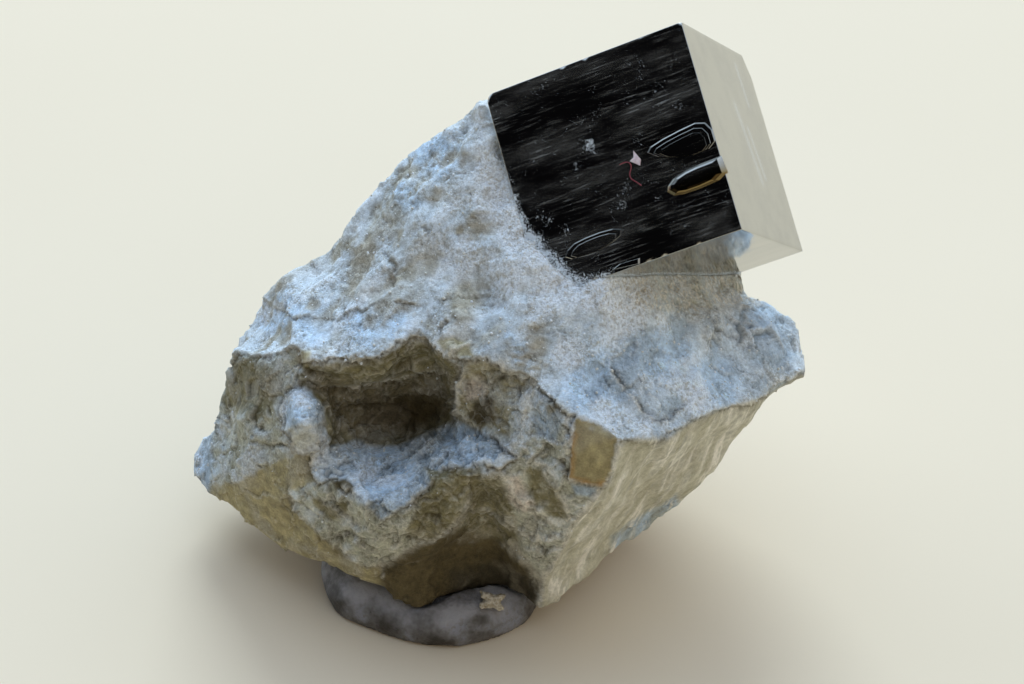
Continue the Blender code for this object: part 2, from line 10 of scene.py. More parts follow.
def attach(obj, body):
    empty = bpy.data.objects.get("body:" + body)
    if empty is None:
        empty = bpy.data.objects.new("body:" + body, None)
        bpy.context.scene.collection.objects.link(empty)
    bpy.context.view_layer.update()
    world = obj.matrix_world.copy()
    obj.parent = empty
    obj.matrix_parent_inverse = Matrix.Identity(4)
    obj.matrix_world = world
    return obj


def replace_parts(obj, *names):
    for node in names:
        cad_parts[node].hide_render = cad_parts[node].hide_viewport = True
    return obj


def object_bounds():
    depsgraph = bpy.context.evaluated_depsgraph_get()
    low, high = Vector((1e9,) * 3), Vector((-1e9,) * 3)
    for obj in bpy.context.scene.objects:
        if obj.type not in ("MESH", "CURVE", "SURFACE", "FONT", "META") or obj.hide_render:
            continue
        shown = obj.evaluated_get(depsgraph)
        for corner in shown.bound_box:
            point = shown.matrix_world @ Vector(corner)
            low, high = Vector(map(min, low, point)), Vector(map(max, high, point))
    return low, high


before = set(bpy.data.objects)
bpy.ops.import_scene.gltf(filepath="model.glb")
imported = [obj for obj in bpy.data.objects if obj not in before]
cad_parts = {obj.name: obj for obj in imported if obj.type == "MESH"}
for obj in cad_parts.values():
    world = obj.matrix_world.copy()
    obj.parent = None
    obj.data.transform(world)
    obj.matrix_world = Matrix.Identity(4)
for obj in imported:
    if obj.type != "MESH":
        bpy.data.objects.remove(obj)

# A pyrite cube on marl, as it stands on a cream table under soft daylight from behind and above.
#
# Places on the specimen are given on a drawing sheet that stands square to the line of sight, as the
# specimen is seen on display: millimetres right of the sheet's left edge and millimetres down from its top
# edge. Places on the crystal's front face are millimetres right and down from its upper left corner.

CAD_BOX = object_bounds()
MM = 0.001

# The line of sight: its height, where it meets the sheet in the frame, and how far off the eye is.
SIGHT_ELEVATION = math.radians(36)
SHEET_IN_FRAME = Vector((1.82, 7.37, 16.90)) * MM
SHEET_MIDDLE = (51.2, 34.2)
SIGHT_DISTANCE = 284.4 * MM
# The camera's lens and sensor, in millimetres.
LENS_LENGTH = 100.0
SENSOR_WIDTH = 36.0
VIEW = Matrix.Translation(SHEET_IN_FRAME) @ Matrix.Rotation(math.pi / 2 - SIGHT_ELEVATION, 4, "X")
TOWARDS_EYE = np.array(VIEW.to_3x3().col[2])

# The crystal, from the same values as the solid model.
CUBE_EDGE = 20.0 * MM
CUBE_HALF = CUBE_EDGE / 2
CUBE_CENTRE = Vector((12.74, 15.83, 15.33)) * MM
CUBE_TURN = Euler((math.radians(-10.65), math.radians(-19.33), math.radians(18.99)))
CUBE = VIEW @ Matrix.Translation(CUBE_CENTRE) @ CUBE_TURN.to_matrix().to_4x4()
CORNER_CUT = Vector((2.2, 2.4, 1.3)) * MM
CORNER_ROUND = 0.9 * MM
CUBE_CUTS = 96
EDGE_BAND = 0.06 * MM
EDGE_WEAR = 0.03 * MM
GROWTH_STEP = 0.007 * MM
# How far off the crystal the solid stone stops, and a little more.
CONTACT_GAP = 0.34 * MM

# Growth hillocks on the crystal's front face: how far each leans toward its lower rim, its outline and its
# tiers. Each tier is the share of the outline that its foot and its top take up, and how high they stand.
HILLOCKS = [
    (
        1.0,
        [
            (13.5, 10.4), (13.9, 10.0), (15.2, 9.7), (17.0, 9.45), (18.6, 9.3), (19.5, 9.6), (19.95, 10.4),
            (19.95, 11.5), (19.2, 12.0), (17.6, 12.05), (15.9, 11.7), (14.4, 11.1),
        ],
        [(1.0, 0.96, -0.3, 0.04), (0.84, 0.82, 0.035, 0.055), (0.7, 0.68, 0.05, 0.065)],
    ),
    (
        0.15,
        [
            (14.3, 14.5), (14.5, 14.0), (15.2, 13.5), (16.4, 13.2), (17.9, 13.05), (20.1, 13.0),
            (20.2, 14.6), (19.3, 15.05), (17.6, 15.2), (15.8, 15.2), (14.8, 15.0),
        ],
        [(1.0, 0.86, -0.3, 0.26), (0.86, 0.7, 0.25, 0.33), (0.7, 0.5, 0.32, 0.36)],
    ),
    (
        1.0,
        [
            (3.2, 17.0), (3.6, 16.5), (4.4, 16.1), (5.6, 15.95), (7.1, 15.9), (8.4, 16.0), (9.2, 16.3),
            (9.0, 16.8), (8.0, 17.2), (6.6, 17.45), (5.0, 17.5), (3.8, 17.4),
        ],
        [(1.0, 0.95, -0.3, 0.03), (0.8, 0.77, 0.025, 0.045)],
    ),
]
GROWTH_PLATE = [(7.2, 19.6), (8.1, 19.3), (10.1, 19.4), (9.95, 19.9)]
PLATE_TIERS = [(1.0, 0.85, -0.3, 0.06)]

# Marks on the crystal's front face: chips on its edges, a loose flake, a red fibre and clumps of dust.
EDGE_CHIPS = [
    ((8.0, 0.1), 0.5), ((10.3, 0.0), 0.35), ((5.4, 20.0), 0.5), ((12.4, 20.0), 0.4), ((15.8, 20.0), 0.3),
]
FLAKE = [(12.3, 9.8), (12.75, 10.8), (12.5, 11.3), (11.7, 10.6), (12.15, 10.4)]
FIBRE = [(10.7, 10.6), (11.5, 10.4), (11.9, 11.1), (11.3, 11.6), (11.3, 12.3), (11.8, 12.6), (12.1, 13.1)]
FACE_DUST = [
    ((8.4, 8.1), 1.3, 0.95), ((5.4, 1.2), 0.5, 0.9), ((4.4, 10.4), 0.4, 0.9), ((10.4, 4.7), 0.5, 0.8),
    ((10.8, 12.9), 0.8, 0.8), ((10.5, 3.6), 0.3, 0.9), ((5.1, 13.4), 0.6, 0.7), ((9.4, 13.6), 1.8, 0.5),
    ((2.4, 13.0), 1.5, 0.6), ((7.6, 7.2), 0.7, 0.8), ((3.8, 15.0), 1.3, 0.5), ((13.2, 3.4), 0.9, 0.5),
    ((8.4, 11.6), 0.5, 0.6), ((7.0, 18.6), 1.4, 0.5), ((12.6, 13.9), 0.6, 0.7), ((16.0, 4.4), 1.6, 0.45),
    ((14.6, 2.4), 1.2, 0.45), ((17.5, 7.0), 1.2, 0.4), ((6.4, 9.4), 0.7, 0.6),
]
# Faint streaks of painted reflection on the crystal's right face: the two ends, as cube Z and Y in
# millimetres, and the width.
RIGHT_STREAKS = [
    ((-0.6, 3.4), (-2.2, -3.8), 0.9), ((-2.8, 1.4), (-3.8, -3.2), 0.7), ((-5.2, 8.2), (-5.6, 4.4), 0.7),
]

# Colours of the stone.
# The blue dust colour is pale dust with the blue of the sky light painted into it.
DUST_SKYLIT_BLUE = (0.60, 0.77, 0.96)
DUST_GREY = (0.68, 0.73, 0.75)
DUST_BEIGE = (0.70, 0.65, 0.55)
GREY_BROWN = (0.40, 0.355, 0.265)
OLIVE = (0.215, 0.185, 0.09)
OLIVE_GREY = (0.43, 0.42, 0.31)
OLIVE_TAN = (0.41, 0.35, 0.19)
# BROWN, UMBER and DARK also stand for painted shade in the recesses, the cavity and under the overhang.
BROWN = (0.11, 0.085, 0.04)
UMBER = (0.25, 0.21, 0.12)
DARK = (0.06, 0.05, 0.03)
BLUE_GREY = (0.39, 0.48, 0.57)
GOLD = (0.36, 0.30, 0.155)
RUST = (0.42, 0.21, 0.06)
TAN = (0.58, 0.56, 0.465)
PINK_BEIGE = (0.64, 0.55, 0.46)
PALE = (0.80, 0.76, 0.66)
SNOW = (0.86, 0.91, 0.97)
SHADED_TAN = (0.36, 0.33, 0.20)
# What the gaps in the crust of dust are multiplied by.
GAP_SHADE = (0.62, 0.55, 0.45)

# Colours of the crystal: two tones of polished metal, two of the golden-brown painted reflection of the warm
# floor on the lower rims of its growths, and its dust, which also paints the reflected streaks on its right
# face.
PYRITE_TONES = ((0.442, 0.432, 0.392), (0.40, 0.39, 0.357))
RIM_REFLECTION_TONES = ((0.22, 0.155, 0.065), (0.13, 0.09, 0.04))
CRYSTAL_DUST_AND_REFLECTION = (0.66, 0.73, 0.80)

# Colours of the putty, then a dark and a light tone of each small thing and of the table.
PUTTY_TONES = ((0.035, 0.03, 0.024), (0.165, 0.158, 0.158))
PUTTY_SPECK = (0.06, 0.053, 0.05)
PUTTY_SMEAR = (0.27, 0.29, 0.36)
# The last putty colour is its painted highlight.
PUTTY_TOP_LIGHT = (0.34, 0.335, 0.36)
POWDER_TONES = ((0.64, 0.68, 0.72), (0.86, 0.89, 0.93))
GRIT_TONES = ((0.55, 0.53, 0.47), (0.76, 0.78, 0.77))
FLAKE_TONES = ((0.62, 0.48, 0.53), (0.80, 0.70, 0.74))
FIBRE_TONES = ((0.22, 0.03, 0.05), (0.38, 0.07, 0.09))
CRUMB_TONES = ((0.30, 0.25, 0.17), (0.56, 0.51, 0.42))
TABLE_TONES = ((0.755, 0.64, 0.48), (0.765, 0.65, 0.49))

# Regions of the stone's front, painted one over another. Each is an outline on the sheet, then the colour of
# its fresh stone, or a dark colour that is painted shade in the recesses, the cavity and under the overhang,
# how much dust lies on it, how lumpy, how flaky and how netted with veins it is, each from 0 to 1, and how
# softly its border runs, in millimetres.
REGIONS = {
    "right_shelf": (
        [
            (57.5, 29.0), (62, 27.5), (74, 27), (81, 31), (81, 38), (76, 40), (66.5, 44), (61.8, 44),
            (57.5, 41.6), (55, 38.6), (55, 33),
        ],
        BLUE_GREY, 1.0, 0.7, 0.25, 0.0, 1.2,
    ),
    "nodules": (
        [(70, 29), (75, 29), (80, 32), (79, 36), (75, 36), (71, 34.5)],
        BLUE_GREY, 0.55, 1.0, 0.5, 0.0, 0.9,
    ),
    "collar": (
        [(62.6, 28.6), (66, 26), (75, 24), (76, 30.2), (70, 31.2), (64, 31.2)],
        OLIVE_GREY, 0.75, 0.4, 0.3, 0.0, 0.8,
    ),
    "left_end": (
        [(18.5, 43), (21.8, 42.6), (21.4, 48.6), (21, 50), (19, 49)],
        BLUE_GREY, 0.9, 0.4, 0.4, 0.0, 0.3,
    ),
    "left_block": (
        [
            (21.2, 36.6), (24.2, 35.3), (26, 35.55), (27.7, 35.3), (29.7, 34.9), (29.9, 37), (29.4, 38.8),
            (28, 41), (28.3, 43), (28.9, 45.5), (27.3, 46.3), (25.3, 47.3), (23.7, 48.3), (21.2, 48.4),
            (21.3, 42),
        ],
        OLIVE_GREY, 0.66, 0.35, 0.6, 0.75, 0.35,
    ),
    "left_block_top": (
        [
            (23.4, 36), (26, 35.7), (27.6, 36.6), (27.8, 39.6), (27.2, 41.6), (25.6, 42.4), (23.4, 41),
            (22, 40.6), (22.2, 38),
        ],
        OLIVE, 0.12, 0.2, 0.6, 0.15, 0.9,
    ),
    "tab": ([(30.1, 35), (31.1, 35.1), (31.2, 37), (30.2, 37)], OLIVE_TAN, 0.1, 0.2, 0.3, 0.0, 0.2),
    "roof": (
        [
            (31, 36.4), (33.9, 36.1), (36.1, 36.3), (38, 35.9), (40.3, 34.4), (41.7, 34.0), (43, 34.7),
            (44.6, 35.9), (45.9, 36.9), (45.4, 38), (45.2, 42.2), (43, 43.4), (40, 44.6), (36, 44.6),
            (33, 44.6), (32.2, 41), (30.2, 38.6), (29.6, 37.6),
        ],
        OLIVE, 0.06, 0.3, 0.9, 0.1, 0.3,
    ),
    # Painted shade under the overhang.
    "roof_dark": (
        [
            (29.5, 38.4), (31.4, 37.6), (36, 38.1), (40.4, 37.6), (43.4, 37.0), (44.8, 38.4), (44.6, 41.8),
            (41.4, 43.8), (36, 44.2), (33.6, 43), (32.6, 40.2),
        ],
        UMBER, 0.12, 0.5, 0.9, 0.2, 0.7,
    ),
    # Painted shade in the recess.
    "recess": (
        [(36.4, 40.2), (40.4, 39.4), (44.2, 39.4), (44.6, 41.6), (41.2, 43), (37, 42.6)],
        BROWN, 0.0, 0.4, 0.6, 0.0, 0.9,
    ),
    "lip_flats": (
        [(43.4, 34.0), (45.4, 33.7), (46.9, 34.4), (47.3, 35.7), (45.8, 35.6), (44.4, 35.2)],
        OLIVE_TAN, 0.1, 0.2, 0.4, 0.0, 0.3,
    ),
    "block": (
        [
            (46.5, 36.6), (48.4, 36.2), (51.2, 37.6), (53.2, 38.4), (52, 40), (51, 44.4), (49.4, 43.9),
            (47.7, 42.9), (46.2, 42.2), (45.4, 41.3), (45.8, 38.1),
        ],
        OLIVE_TAN, 0.6, 0.4, 0.7, 0.5, 0.25,
    ),
    "block_top": (
        [(46.2, 38.2), (47.6, 37.6), (48.9, 38.6), (48.4, 39.8), (46.6, 40)],
        PINK_BEIGE, 0.4, 0.4, 0.5, 0.3, 0.5,
    ),
    # Painted shade in a hollow of the block.
    "block_hollow": ([(49, 38), (50.6, 37.3), (50.7, 38), (49.3, 38.7)], DARK, 0.0, 0.2, 0.4, 0.0, 0.4),
    "block_brown": (
        [(47.4, 40.2), (49.4, 39.6), (49.6, 42.2), (47.8, 42.6), (46.6, 41.6)],
        BROWN, 0.05, 0.7, 0.7, 0.5, 0.4,
    ),
    "ledge": (
        [
            (31.3, 45.6), (32.8, 45.1), (35.7, 44), (37.6, 45.2), (40, 44.6), (43, 43.3), (46.4, 42.3),
            (49.4, 43.9), (51.4, 45.5), (50, 46.4), (46.6, 46.6), (44.2, 46.6), (43, 48.4), (40.6, 50.7),
            (38.1, 52), (36.2, 50.2), (34.4, 48), (32.4, 48.2),
        ],
        BLUE_GREY, 0.95, 0.55, 1.0, 0.1, 0.3,
    ),
    "lump": (
        [(29.3, 38.9), (31, 39.2), (32.4, 40.6), (32.2, 42.4), (30.5, 42.6), (28.8, 43.0), (27.9, 41.2)],
        BLUE_GREY, 1.0, 0.3, 0.4, 0.0, 0.3,
    ),
    "lump_foot": (
        [(28.8, 43.0), (30.5, 42.5), (32.2, 42.4), (32.4, 44), (31.5, 45.1), (29.6, 45.1)],
        TAN, 0.6, 0.4, 0.4, 0.2, 0.6,
    ),
    "flank": (
        [
            (21, 48.4), (23.7, 48.3), (25.3, 47.3), (27.3, 46.3), (29.7, 45.4), (31.1, 45.6),
            (31.2, 47.2), (31.7, 48.1), (30.5, 48.7), (28.9, 49.2), (29.2, 50.7), (30.7, 52.3),
            (32.4, 53.6), (33.5, 54.6), (35.1, 55.9), (36.8, 56.7), (38, 56.6), (38.3, 58), (40, 60),
            (41.5, 62), (34, 59), (26, 55), (21, 51),
        ],
        OLIVE_TAN, 0.12, 0.2, 0.25, 0.0, 0.25,
    ),
    "mottled": (
        [
            (28.9, 49.2), (30.5, 48.6), (31.8, 48.2), (34.4, 48), (36.2, 50.2), (38.1, 52), (40.6, 50.7),
            (41.8, 50.8), (40.5, 53.3), (41.9, 54.2), (39, 56), (36.8, 56.7), (35.1, 55.9), (33.5, 54.6),
            (30.7, 52.3), (29.2, 50.7),
        ],
        OLIVE_GREY, 0.55, 0.5, 0.8, 1.0, 0.3,
    ),
    "mottled_olive": (
        [(30.8, 49.4), (32.6, 50.2), (35, 50.2), (34.6, 51.6), (33.2, 52), (31.6, 50.9)],
        OLIVE, 0.1, 0.2, 0.4, 0.1, 0.25,
    ),
    "mottled_brown": (
        [(33.2, 48.1), (34.6, 47.8), (35.8, 48.8), (35.2, 49.2), (33.6, 49)],
        BROWN, 0.0, 0.3, 0.5, 0.0, 0.3,
    ),
    "arch_leg": (
        [
            (42.3, 46.6), (44, 47.1), (46.9, 46.7), (48.4, 46.8), (47.2, 49.4), (46, 51.6), (44.4, 53.3),
            (43.3, 54.2), (41.9, 54.2), (40.5, 53.3), (41.8, 50.8), (41.8, 49.7), (43.1, 48.5),
        ],
        OLIVE, 0.1, 0.3, 0.9, 0.2, 0.25,
    ),
    "cavity_top": (
        [(47.0, 47.2), (50, 47.6), (51.8, 51), (52, 54), (48, 55), (45, 54), (46.4, 51.4)],
        OLIVE, 0.25, 0.3, 0.6, 0.3, 0.8,
    ),
    # Painted shade in the cavity under the arch.
    "cavity": (
        [(38, 57), (41.9, 54.5), (46, 52.8), (50, 54), (53, 57), (54, 62), (38, 62.5)],
        BROWN, 0.0, 0.3, 0.35, 0.0, 0.6,
    ),
    # Painted shade, darkest at the foot of the cavity.
    "cavity_foot": ([(45, 57), (50, 56), (54, 58.5), (54, 62), (45, 62)], DARK, 0.0, 0.3, 0.3, 0.0, 0.9),
    "web": (
        [
            (50.8, 39), (52.2, 39.4), (54, 38.8), (57.2, 41.6), (57.1, 45), (56.9, 48.2), (60.3, 49),
            (57.3, 52.3), (55.9, 55.4), (54.5, 57.7), (52, 55), (51.4, 51), (50, 47.4), (51.4, 45.6),
            (51, 43),
        ],
        OLIVE_GREY, 0.85, 0.4, 0.8, 1.0, 0.3,
    ),
    "web_nodule": (
        [(53.2, 39.6), (55.6, 39.4), (56.2, 42), (55.6, 44), (53.8, 43.6), (52.9, 41.6)],
        BLUE_GREY, 0.75, 0.9, 0.6, 0.3, 0.4,
    ),
    "web_pit": ([(54.3, 40.3), (55.7, 40), (55.8, 41.2), (54.8, 41.4)], UMBER, 0.3, 0.4, 0.4, 0.0, 0.3),
    "web_olive": (
        [(52.6, 46.6), (54.6, 46.9), (56.4, 49.8), (57, 52), (55.4, 51.8), (53.2, 50.2)],
        OLIVE, 0.15, 0.3, 0.6, 0.3, 0.4,
    ),
    "web_beige": (
        [(50.4, 47.8), (51.8, 47.6), (53.4, 50.6), (52.4, 51.2), (51, 50)],
        PINK_BEIGE, 0.3, 0.4, 0.5, 0.4, 0.4,
    ),
    "under_gold": (
        [(57.1, 48.4), (59.9, 48.9), (59.2, 49.7), (57.6, 49.4)],
        BLUE_GREY, 1.0, 0.2, 0.3, 0.0, 0.2,
    ),
    "underside": (
        [
            (61.8, 44), (64, 43.9), (66.5, 44.1), (69.1, 42.2), (73.2, 40.5), (76.4, 39.7), (80.1, 37.4),
            (81, 38), (75, 43), (72, 48), (66, 52.6), (60, 57.6), (54, 61.6), (54.5, 57.7), (55.9, 55.4),
            (57.3, 52.3), (59.5, 49.8), (61, 48.2),
        ],
        TAN, 0.1, 0.1, 0.12, 0.0, 0.2,
    ),
    "undercut": (
        [(61.2, 53.6), (64.6, 51.2), (67.6, 49.6), (68, 50.4), (64.6, 53), (61, 56)],
        BLUE_GREY, 0.6, 0.3, 0.3, 0.0, 0.4,
    ),
    "golden": (
        [
            (57.5, 41.8), (60.4, 42.6), (61.8, 43.8), (61.3, 46.0), (61.0, 47.4), (60.3, 48.7), (58.6, 48.4),
            (56.9, 47.9), (57.1, 45),
        ],
        GOLD, 0.0, 0.08, 0.08, 0.0, 0.1,
    ),
}
RUSTY_EDGE = [(57.2, 43.6), (56.9, 47.9), (58.6, 48.4), (60.3, 48.7)]

# Brown spots on the dusty slope and the shelf, where the dust has fallen off: place, reach and strength.
SPOTS = [
    ((38.6, 22.4), 3.0, 0.5), ((36.4, 25.8), 1.9, 0.75), ((43.2, 26.0), 3.3, 0.85), ((36.6, 29.2), 2.9, 0.6),
    ((40.4, 28.6), 2.6, 0.5), ((46.6, 29.3), 3.2, 1.0), ((45.7, 23.2), 0.9, 0.95), ((48.0, 16.7), 1.2, 0.8),
    ((48.2, 18.0), 0.8, 0.7), ((51.8, 25.0), 0.8, 0.9), ((48.6, 21.6), 0.8, 0.7), ((42.8, 32.4), 1.1, 0.8),
    ((31.3, 30.4), 1.0, 0.9), ((37.1, 32.4), 1.1, 0.7), ((41.0, 17.1), 1.0, 0.7), ((33.6, 33.4), 1.8, 0.6),
    ((54.0, 33.4), 2.8, 0.65), ((59.2, 31.6), 1.9, 0.6), ((50.4, 35.4), 2.0, 0.6), ((46.6, 34.0), 1.6, 0.6),
    ((62.4, 39.2), 1.6, 0.8), ((70.4, 33.4), 2.0, 0.6), ((28.0, 30.8), 0.7, 0.7),
    ((52.6, 29.0), 1.4, 0.5), ((32.2, 32.0), 2.2, 0.55), ((49.2, 32.6), 2.0, 0.6),
]
# Where the dust is painted bluest, with the blue of the sky light that falls on it: place and reach.
SKYLIT_BLUE_SPOTS = [
    ((43.5, 15.5), 3.2), ((28.0, 31.5), 3.2), ((31.5, 32.4), 3.0), ((30.2, 40.6), 2.6), ((38.0, 47.4), 4.6),
    ((46.5, 44.8), 3.6), ((36.5, 32.5), 3.2), ((66.5, 35.5), 4.2), ((59.5, 38.5), 4.6), ((49.4, 33.6), 2.6),
    ((20.4, 46.4), 2.2), ((71.0, 38.5), 4.2), ((64.5, 52.6), 2.6), ((53.8, 41.2), 1.8), ((40.4, 19.6), 2.0),
    ((76.5, 31.6), 2.6), ((52.0, 35.2), 1.6), ((39.6, 32.4), 2.0),
]
# The line along the crystal where white powder lies thickest, then where it also lies: place and reach.
SNOW_LINE = [
    (49.8, 16.6), (51.0, 19.6), (52.0, 22.4), (53.6, 24.8), (56.0, 27.2), (58.6, 28.4), (62.6, 29.8),
]
POWDERY_SPOTS = [
    ((46.4, 25.2), 2.6), ((50.2, 26.8), 3.0), ((48.4, 20.4), 1.8), ((61.4, 32.4), 2.6), ((63.4, 30.6), 2.2),
    ((60.2, 40.6), 2.0), ((64.6, 42.6), 1.8), ((56.8, 35.2), 2.2), ((69.6, 39.6), 2.0), ((54.6, 29.4), 2.2),
    ((36.6, 47.0), 1.8), ((30.2, 39.8), 1.4), ((26.4, 31.0), 1.8),
]

# Ledges: broken edges that stand proud of what lies on their right hand, as one walks along them on the
# sheet. Each is a line, how far it stands out and how far back that reaches, in millimetres.
LEDGES = [
    (
        [
            (22.6, 36.6), (24.2, 35.3), (26, 35.5), (27.7, 35.3), (29.7, 34.9), (30.1, 36.2), (31.1, 36.2),
            (33.9, 35.9), (36.1, 36.1), (38, 35.7), (39, 34.8), (40.3, 34.1), (41.7, 33.7), (43, 34.3),
            (44.6, 35.5), (45.7, 35.7), (47, 36.1), (48.4, 35.9), (50.2, 36.9), (51.2, 37.4), (53.3, 38.1),
            (55.2, 40.0), (57.5, 41.8),
        ],
        0.34, 0.8,
    ),
    (
        [
            (29.5, 38.4), (30.2, 38.0), (32.5, 38.5), (35, 38.8), (38, 38.3), (40, 38.1), (42.4, 37.2),
            (44.4, 37.4),
        ],
        0.4, 0.7,
    ),
    ([(34.4, 40.6), (36.6, 39.9), (39, 39.5), (41.4, 39.6), (43.6, 39.0)], 0.22, 0.5),
    (
        [(46.5, 36.8), (45.8, 38.1), (45.4, 41.3), (46.4, 42.1), (47.7, 42.9), (49.4, 43.9), (51.2, 45.2)],
        0.4, 0.7,
    ),
    (
        [
            (29.3, 39.0), (28.0, 41.0), (28.3, 42.6), (28.9, 43.6), (29.4, 44.9), (30.4, 45.3), (31.5, 45.0),
            (32.3, 43.8),
        ],
        0.35, 0.8,
    ),
    ([(28.9, 43.1), (30.4, 42.7), (31.9, 42.5)], 0.12, 0.4),
    (
        [
            (31.2, 45.6), (31.2, 47.2), (31.8, 48.2), (33.6, 47.8), (34.6, 49.0), (36.2, 49.9), (38.1, 52.0),
            (40.6, 50.7), (43.0, 48.5), (44.2, 46.6), (46.4, 46.8), (48.2, 46.4), (50, 46.9), (51.4, 45.9),
        ],
        0.3, 0.6,
    ),
    ([(33.0, 46.6), (35.0, 46.2), (36.4, 47.2), (38.6, 46.8), (40.4, 45.6), (42.6, 45.2)], 0.25, 0.5),
    ([(40.8, 48.6), (42.2, 47.0), (44.6, 45.4), (47.0, 45.2), (48.4, 44.8)], 0.2, 0.5),
    (
        [(40.5, 53.3), (41.9, 54.2), (43.3, 54.2), (44.4, 53.3), (46, 51.6), (47.2, 49.4), (46.9, 46.9)],
        0.34, 0.6,
    ),
    (
        [
            (28.9, 49.2), (29.2, 50.7), (30.7, 52.3), (32.4, 53.6), (33.5, 54.6), (35.1, 55.9), (36.8, 56.7),
            (38, 56.6),
        ],
        0.3, 0.6,
    ),
    ([(30.8, 49.3), (32.4, 50.1), (34.8, 50.1), (34.9, 51.4)], 0.16, 0.5),
    ([(57.5, 41.8), (57.1, 45), (56.9, 47.9), (58.6, 48.4), (60.3, 48.7), (61.0, 47.4)], 0.3, 0.9),
    (
        [
            (61.9, 44.0), (63.2, 44.1), (66.5, 44.1), (67, 43.3), (69.1, 42.2), (70.6, 41.5), (73.2, 40.5),
            (75.3, 40.5), (76.4, 39.7), (78.1, 38.4), (80.1, 37.4),
        ],
        0.26, 0.7,
    ),
    (
        [(68.2, 40.8), (67.0, 41.8), (65.8, 42.3), (65.0, 42.0), (64.2, 40.8), (62.6, 38.8), (61.2, 37.1)],
        0.42, 1.1,
    ),
    ([(54.5, 57.7), (55.9, 55.4), (57.3, 52.3), (59.5, 49.8)], 0.12, 0.5),
    ([(24.4, 27.9), (26.6, 30.0), (29.0, 31.6), (33.4, 31.8), (36.8, 30.4)], 0.14, 0.8),
    ([(39.6, 30.2), (42.4, 30.6), (45.6, 29.2), (48.6, 29.6)], 0.14, 0.7),
]
# Raised veins: lines on the sheet.
VEINS = [
    [(49.9, 46.9), (51.8, 49.7), (53.1, 51.1), (55.6, 52.2), (57.0, 52.2)],
    [(50.4, 52.0), (51.9, 53.3), (54.3, 54), (56.3, 53.6)],
    [(54.3, 47.2), (55.9, 49.4), (57.0, 51.9)],
    [(52.4, 44.6), (53.6, 46.2), (54.8, 46.6), (55.4, 47.6)],
    [(46.5, 36.6), (46.0, 38.0), (45.5, 41.2), (46.4, 42.0)],
    [(46.6, 37.0), (47.6, 38.0), (48.8, 38.6)],
    [(44.6, 35.5), (45.6, 34.8), (47.0, 34.2)],
    [(53.4, 38.4), (52.6, 40.4), (52.2, 42.6), (51.6, 44.6)],
    [(56.6, 41.6), (56.4, 44.0), (56.5, 47.0)],
    [(62.0, 44.2), (61.4, 46.4), (59.6, 49.6), (57.6, 52.0), (56.2, 55.2), (54.6, 57.8), (53.9, 60.4)],
    [(63.4, 44.6), (62.8, 46.6), (60.4, 50.4), (58.0, 54.0)],
    [(67.4, 43.8), (65.8, 46.0), (62.6, 50.2), (59.0, 54.4), (55.4, 59.0)],
]
CRACKS = [
    [(44.0, 33.6), (44.6, 32.4), (45.6, 31.8)], [(38.2, 25.2), (39.4, 26.6), (39.2, 28.2)],
    [(35.0, 45.2), (36.4, 46.0), (37.2, 47.4)], [(40.2, 40.6), (41.4, 41.8), (41.0, 43.0)],
    [(45.4, 44.0), (46.6, 44.4), (48.6, 43.9)], [(25.2, 44.0), (27.0, 44.8), (28.6, 44.6)],
    [(33.2, 53.8), (35.0, 53.2), (36.4, 54.2)], [(70.6, 31.2), (71.6, 33.0), (73.6, 33.8)],
]
# The keel that the streaks of the underside follow: its two ends, with how far they stand out of the sheet.
KEEL_FOOT = (54.6, 57.7, 15.8)
KEEL_TOP = (61.0, 47.7, 28.2)

# How finely the surfaces are meshed. The side away from the eye keeps fewer of its triangles.
STONE_VOXEL = 0.25 * MM
STONE_TRIANGLES = 188000
# How firmly the side towards the eye holds on to its triangles, as a share of their edges in metres.
FRONT_KEPT = 0.000005
# How deep and how high the stone's relief may go, in millimetres.
RELIEF_RANGE = (-0.8, 0.55)
# Which way the dusty slope falls on the sheet.
SLOPE_RUN = (0.68, 0.73, 0.0)
PUTTY_VOXEL = 0.3 * MM
CRUMB_VOXEL = 0.1 * MM
POWDER_GRAINS = 2400
GRIT_GRAINS = 700


# Numbers along arrays

def smooth_step(low, high, values):
    t = np.clip((values - low) / (high - low), 0.0, 1.0)
    return t * t * (3.0 - 2.0 * t)


def seed_offset(seed):
    return np.array((seed * 7.31, seed * 3.17, seed * 5.53))


def noise_at(points, size, seed=0):
    """Gradient noise, about -1 to 1, with lumps of the given size in metres."""
    return np.array([noise.noise(p) for p in points / size + seed_offset(seed)])


def cells_at(points, size, seed=0):
    """For each point, the distance to the nearest of scattered seeds and its lead over the next one, both
    in seed spacings, and the height of a facet that is tilted its own way round each seed."""
    near = np.empty(len(points))
    lead = np.empty(len(points))
    facet = np.empty(len(points))
    for i, place in enumerate(points / size + seed_offset(seed)):
        distances, seeds = noise.voronoi(place)
        near[i] = distances[0]
        lead[i] = distances[1] - distances[0]
        tilt = noise.cell_vector(seeds[0] * 61.0) - Vector((0.5, 0.5, 0.5))
        facet[i] = tilt.dot(Vector(place) - seeds[0])
    return near, lead, facet


def away_from(places, spot):
    """Distance in millimetres from each place to a spot on the same sheet or face."""
    return np.linalg.norm(places - np.array(spot), axis=1)


def from_line(places, line):
    """Distance in millimetres from each place to a line on the sheet, and whether it lies on the left hand
    of one who walks along the line."""
    nearest = np.full(len(places), 1e9)
    left = np.zeros(len(places), bool)
    for a, b in zip(np.array(line[:-1], float), np.array(line[1:], float)):
        edge = b - a
        offset = places - a
        along = np.clip((offset @ edge) / (edge @ edge), 0.0, 1.0)
        away = np.linalg.norm(offset - along[:, None] * edge, axis=1)
        closer = away < nearest
        nearest[closer] = away[closer]
        left[closer] = (edge[0] * offset[:, 1] - edge[1] * offset[:, 0] < 0)[closer]
    return nearest, left


